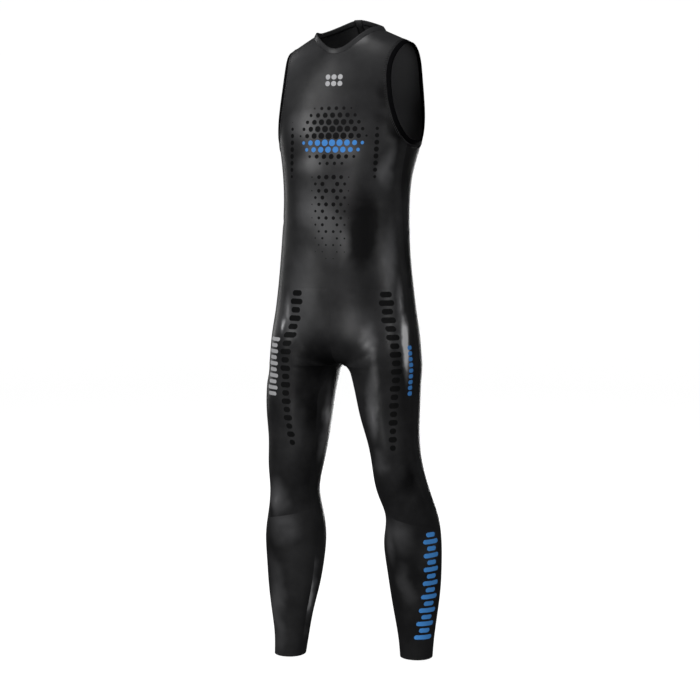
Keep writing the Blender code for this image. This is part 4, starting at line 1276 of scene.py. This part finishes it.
def buildBinding(half, jersey, thread):
    b = binding
    stations = framesAlong(armholePlaces(half), True)
    profile = roundedBand(b["width"], b["wall"], form["wall"])
    sections = []
    for point, normal, into in stations:
        sections.append([point + into * (along + b["gap"]) + normal * high for along, high in profile])
    band = sweepBand("armholeBinding" + half.capitalize(), sections, True, jersey)
    keep(band, "garment", "binding", "armhole_binding_" + half)
    lengths = distances([point for point, _, _ in stations], True)
    stripSheet(band, b["width"] + b["wall"], lengths[-1])
    count = int(lengths[-1] / b["stitchPitch"])
    path = []
    for k in range(count):  # slanting whip stitches, each back under the cloth
        for step, away, high in b["stitch"]:
            index, share = stretchAt(lengths, lengths[-1] * (k + step) / count)
            ends = zip(stations[index], stations[(index + 1) % len(stations)])
            point, normal, into = (a.lerp(c, share) for a, c in ends)
            path.append(point - into * away + normal * high)
    stitches = threadPiece("armholeStitches" + half.capitalize(), path, b["threadRadius"], True, thread)
    keep(stitches, "garment", "binding")


collar = dict(
    height=0.0115, wall=0.0032, corner=0.0009, lean=0.55, rise=0.60, gap=0.00015, rowSteps=4,
    face=((0.0, 0.0), (0.0016, 0.0001), (0.0045, 0.0002)), innerFoot=0.004,
)


def neckRim(turns, part):
    return refined([neckSeam(turn, part) for turn in turns], (), collar["rowSteps"])


def neckStations():
    start = zipPlaces()[1]
    back = neckRim([start] + between(start, np.pi / 2, seams["backNeck"]), "back")
    front = neckRim([0.0] + between(0, np.pi / 2, seams["frontNeck"]), "front")
    left = [(u, v, "left") for u, v in back + front[-2:0:-1]]
    right = [(u, v, "right") for u, v, _ in left]
    stations = framesAlong(left + [(*front[0], "left")] + right[::-1], False)
    for end, side in ((0, 1), (-1, -1)):  # the ends stand square to the zip
        point, *ways = stations[end]
        square = [Vector((0, way.y, way.z)).normalized() for way in ways]
        stations[end] = (point + Vector((side * collar["gap"], 0, 0)), *square)
    return stations


def collarAxes(normal, into):
    rise = (into * collar["lean"] + Vector((0, 0, collar["rise"]))).normalized()
    return rise, (normal - rise * normal.dot(rise)).normalized()


def buildCollar(finish):
    c = collar
    r = c["corner"]
    sections = []
    for point, normal, into in neckStations():
        rise, out = collarAxes(normal, into)
        base = point + into * c["gap"]
        top = base + rise * (c["height"] - r)
        places = [base + rise * high + out * off for high, off in c["face"]]
        for first, inward in ((0, r), (90, c["wall"] - r)):
            for angle in (math.radians(first + step) for step in (0, 30, 60, 90)):
                places.append(top + rise * (r * math.sin(angle)) + out * (r * math.cos(angle) - inward))
        places += [base + rise * c["innerFoot"] - out * c["wall"], base - normal * form["wall"]]
        sections.append(places)
    band = sweepBand("neckBand", sections, False, finish)
    keep(band, "garment", "smooth_neoprene", "neck_band")
    stripSheet(band, c["height"] + c["wall"], distances([places[0] for places in sections])[-1])


zipSizes = dict(
    tapeHalf=0.00885, tapeFace=-0.0006, tapeBack=-0.0024, rowSteps=4, gap=0.00015,
    spineFoot=0.0034, spineHalf=0.0030, spineRise=0.0004,
    tooth=(0.0035, 0.0013, 0.000992), toothBevel=0.00032, toothPitch=0.0016, toothRise=0.0001,
    toothSlant=9.0, toothAside=0.00075, coilStart=0.002, coilMargin=0.004,
    threadRadius=0.00028, stitchPitch=0.0026, stitchPoints=4, stitchPhase=0.8, stitchAt=0.0070,
    stitchWave=0.00035, stitchRise=0.00005,
)


def zipStations():
    places = refined(zipPlaces()[0], (seams["torsoLevels"],), zipSizes["rowSteps"])
    line = [(Vector(place(1.0, v, "left")), Vector(outward(1.0, v, "left"))) for _, v in places]
    line[0] = (line[0][0] + (line[1][0] - line[0][0]).normalized() * zipSizes["gap"], line[0][1])
    _, normal, into = neckStations()[0]
    rise, out = collarAxes(normal, into)
    return line + [(line[-1][0] + rise * collar["height"] * share, out) for share in (0.5, 1.0)]


def alongZip(line, lengths, distance):  # point, way out and way up
    index, share = stretchAt(lengths, distance)
    (low, lowOut), (high, highOut) = line[index], line[index + 1]
    return low.lerp(high, share), lowOut.lerp(highOut, share).normalized(), (high - low).normalized()


def buildZip(tape, coil, thread):
    z = zipSizes
    line = zipStations()
    half, face, back = z["tapeHalf"], z["tapeFace"], z["tapeBack"]
    spine = [(z["spineFoot"], face), (z["spineHalf"], face + z["spineRise"])]
    profile = [(half, face), (half, back), (-half, back), (-half, face)]
    profile += [(-across, high) for across, high in spine] + spine[::-1]
    sections = []
    for point, normal in line:
        sections.append([point + Vector((across, 0, 0)) + normal * high for across, high in profile])
    band = keep(sweepBand("zipTape", sections, False, tape), "garment", "zip_tape", "zip_tape")
    lengths = distances([point for point, _ in line])
    stripSheet(band, 2 * half, lengths[-1])
    bm = bmesh.new()
    roundedBlock(bm, z["tooth"], (0, 0, 0), z["toothBevel"], 1)
    pattern = bm.verts[:] + bm.edges[:] + bm.faces[:]
    for k in range(int((lengths[-1] - z["coilMargin"]) / z["toothPitch"])):
        point, normal, way = alongZip(line, lengths, z["coilStart"] + k * z["toothPitch"])
        side = 1 if k % 2 else -1
        tooth = vertsIn(bmesh.ops.duplicate(bm, geom=pattern)["geom"])
        slant = Matrix.Rotation(math.radians(side * z["toothSlant"]), 4, "Y")
        aside = Matrix.Translation((side * z["toothAside"], 0, 0))
        where = onAxes(point + normal * z["toothRise"], normal, way)
        bmesh.ops.transform(bm, matrix=where @ slant @ aside, verts=tooth)
    bmesh.ops.delete(bm, geom=pattern, context="VERTS")
    bmesh.ops.recalc_face_normals(bm, faces=bm.faces)
    keep(objectFrom("zipCoil", bm, coil), "garment", "zip_tape")
    steps = int(lengths[-1] / z["stitchPitch"]) * z["stitchPoints"]
    for side, label in ((1, "Left"), (-1, "Right")):
        path = []
        for k in range(steps + 1):
            point, normal, _ = alongZip(line, lengths, min(lengths[-1] * k / steps, lengths[-1] - 1e-6))
            turn = k * 2 * math.pi / z["stitchPoints"] + z["stitchPhase"]
            height = face + z["stitchWave"] * math.sin(turn) + z["stitchRise"]
            path.append(point + Vector((side * z["stitchAt"], 0, 0)) + normal * height)
        row = threadPiece("zipStitches" + label, path, z["threadRadius"], False, thread)
        keep(row, "garment", "zip_tape")


slider = dict(
    share=0.60, size=(0.0086, 0.0024, 0.0130), lift=0.0011, plate=0.42, plateBevel=0.0005,
    post=(0.42, 0.9, 0.55), postRise=0.12, postBevel=0.0004,
    bridgeWidth=0.0026, bridgeHeight=0.0036, bridgeBevel=0.00035, bar=0.0010, end=0.0015, sink=0.0004,
)
tab = dict(
    bar=0.0012, window=(0.0040, 0.0085), width=0.0084, length=0.034, thick=0.0014, lean=-3.0,
    bevel=0.0004, overlap=0.0004, plate=0.8, plateBevel=0.0005,
    ribs=7, ribWidth=0.72, ribHeight=0.0010, ribStart=0.006, ribPitch=0.0026, ribBevel=0.0003,
)


def sliderAxes():
    low, high = (Vector(place(1.0, v, "left")) for _, v in zipPlaces()[0][-2:])
    up = (high - low).normalized()
    out = Vector((1, 0, 0)).cross(up)
    return low.lerp(high, slider["share"]), out if out.y > 0 else -out, up


def onAxes(point, out, up):
    matrix = Matrix((Vector((1, 0, 0)), out, up)).transposed().to_4x4()
    matrix.translation = point
    return matrix


def roundedBlock(bm, size, centre, bevel, segments=2):
    made = bmesh.ops.create_cube(bm, size=1)["verts"]
    bmesh.ops.scale(bm, vec=size, verts=made)
    bmesh.ops.translate(bm, vec=centre, verts=made)
    edges = list({edge for vert in made for edge in vert.link_edges})
    bmesh.ops.bevel(bm, geom=edges, offset=bevel, segments=segments, affect="EDGES", profile=0.5, material=-1)


def blocksPiece(name, bm, where, finish):
    bmesh.ops.transform(bm, matrix=where, verts=bm.verts)
    bmesh.ops.recalc_face_normals(bm, faces=bm.faces)
    return objectFrom(name, bm, finish)


def buildSlider(finish):
    s = slider
    width, deep, long = s["size"]
    plate, bevel, bar = deep * s["plate"], s["bridgeBevel"], s["bar"]
    top, bridge = s["lift"] + deep, s["bridgeHeight"]
    bm = bmesh.new()
    for middle in (s["lift"] + plate / 2, top - plate / 2):
        roundedBlock(bm, (width, plate, long), (0, middle, 0), s["plateBevel"])
    post = [size * share for size, share in zip(s["size"], s["post"])]
    roundedBlock(bm, post, (0, s["lift"] + deep / 2, long * s["postRise"]), s["postBevel"])
    leg = long / 2 - s["end"]
    for end in (-leg, leg):
        size = (s["bridgeWidth"], bridge + s["sink"], bar)
        roundedBlock(bm, size, (0, top + (bridge - s["sink"]) / 2, end), bevel)
    roundedBlock(bm, (s["bridgeWidth"], bar, 2 * leg + bar), (0, top + bridge - bar / 2, 0), bevel)
    made = blocksPiece("zipSlider", bm, onAxes(*sliderAxes()), finish)
    keep(made, "garment", "moulded_black", "zip_slider")


def buildTab(finish):
    point, out, up = sliderAxes()
    s, t = slider, tab
    hinge = s["lift"] + s["size"][1] + (s["bridgeHeight"] - s["bar"]) / 2
    lean = math.radians(t["lean"])
    way = (up * -math.cos(lean) + out * math.sin(lean)).normalized()
    facing = Vector((1, 0, 0)).cross(way)
    if facing.dot(out) < 0:
        facing = -facing
    (window, reach), width, lap = t["window"], t["width"], t["overlap"]
    rail = (width - window) / 2
    bm = bmesh.new()
    roundedBlock(bm, (width - lap, t["bar"], t["bar"]), (0, 0, 0), t["bevel"])
    for edge in (-1, 1):
        middle = (edge * (width - rail) / 2, 0, lap - reach / 2)
        roundedBlock(bm, (rail, t["thick"], reach), middle, t["bevel"])
    plate = t["length"] - reach + lap
    size = (width, t["thick"] * t["plate"], plate)
    roundedBlock(bm, size, (0, 0, lap - reach - plate / 2), t["plateBevel"])
    for k in range(t["ribs"]):
        middle = (0, 0, -reach - t["ribStart"] - k * t["ribPitch"])
        roundedBlock(bm, (width * t["ribWidth"], t["thick"], t["ribHeight"]), middle, t["ribBevel"], 1)
    made = blocksPiece("pullTab", bm, onAxes(point + out * hinge, facing, -way), finish)
    keep(made, "pull_tab", "moulded_black", "pull_tab")


def buildBackdrop():  # a pale disc that bends up into a wall all round
    s = studio
    bm = bmesh.new()
    bmesh.ops.create_circle(bm, cap_ends=True, segments=96, radius=s["floorRadius"])
    bend = []
    for k in range(1, s["bendSteps"] + 1):
        angle = math.pi / 2 * k / s["bendSteps"]
        wider, higher = math.sin(angle), 1 - math.cos(angle)
        bend.append((s["floorRadius"] + s["bendRadius"] * wider, s["bendRadius"] * higher))
    bend.append((bend[-1][0], s["wallHeight"]))
    rim = [edge for edge in bm.edges if edge.is_boundary]
    radius, height = s["floorRadius"], 0.0
    for wider, higher in bend:
        grown = bmesh.ops.extrude_edge_only(bm, edges=rim)["geom"]
        fresh = vertsIn(grown)
        rim = [item for item in grown if isinstance(item, bmesh.types.BMEdge)]
        bmesh.ops.scale(bm, vec=(wider / radius, wider / radius, 1), verts=fresh)
        bmesh.ops.translate(bm, vec=(0, 0, higher - height), verts=fresh)
        radius, height = wider, higher
    bmesh.ops.translate(bm, vec=(0, 0, s["floorHeight"]), verts=bm.verts)
    shader = Shader("paleBackdrop")
    others = {"Specular IOR Level": 0.0, "Emission Color": (1.0, 1.0, 1.0), "Emission Strength": s["glow"]}
    floor = objectFrom("backdrop", bm, shader.finish(s["floorTone"], 1.0, None, others))
    floor.visible_diffuse = floor.visible_glossy = floor.visible_shadow = False
    floor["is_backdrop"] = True


buildStudio()
buildBackdrop()
buildPanels()
print("panels laid")
jersey, thread, moulded = jerseyFinish(), threadFinish(), mouldedFinish()
for half in sides:
    buildBinding(half, jersey, thread)
buildCollar(skinFinish("collarSkin", "collar", ()))
buildZip(tapeFinish(), coilFinish(), thread)
buildSlider(moulded)
buildTab(moulded)
print("bands, zip and threads made")

boxes = {"cad": cadBox, "visual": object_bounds()}
{name: [list(map(float, corner)) for corner in box] for name, box in boxes.items()}
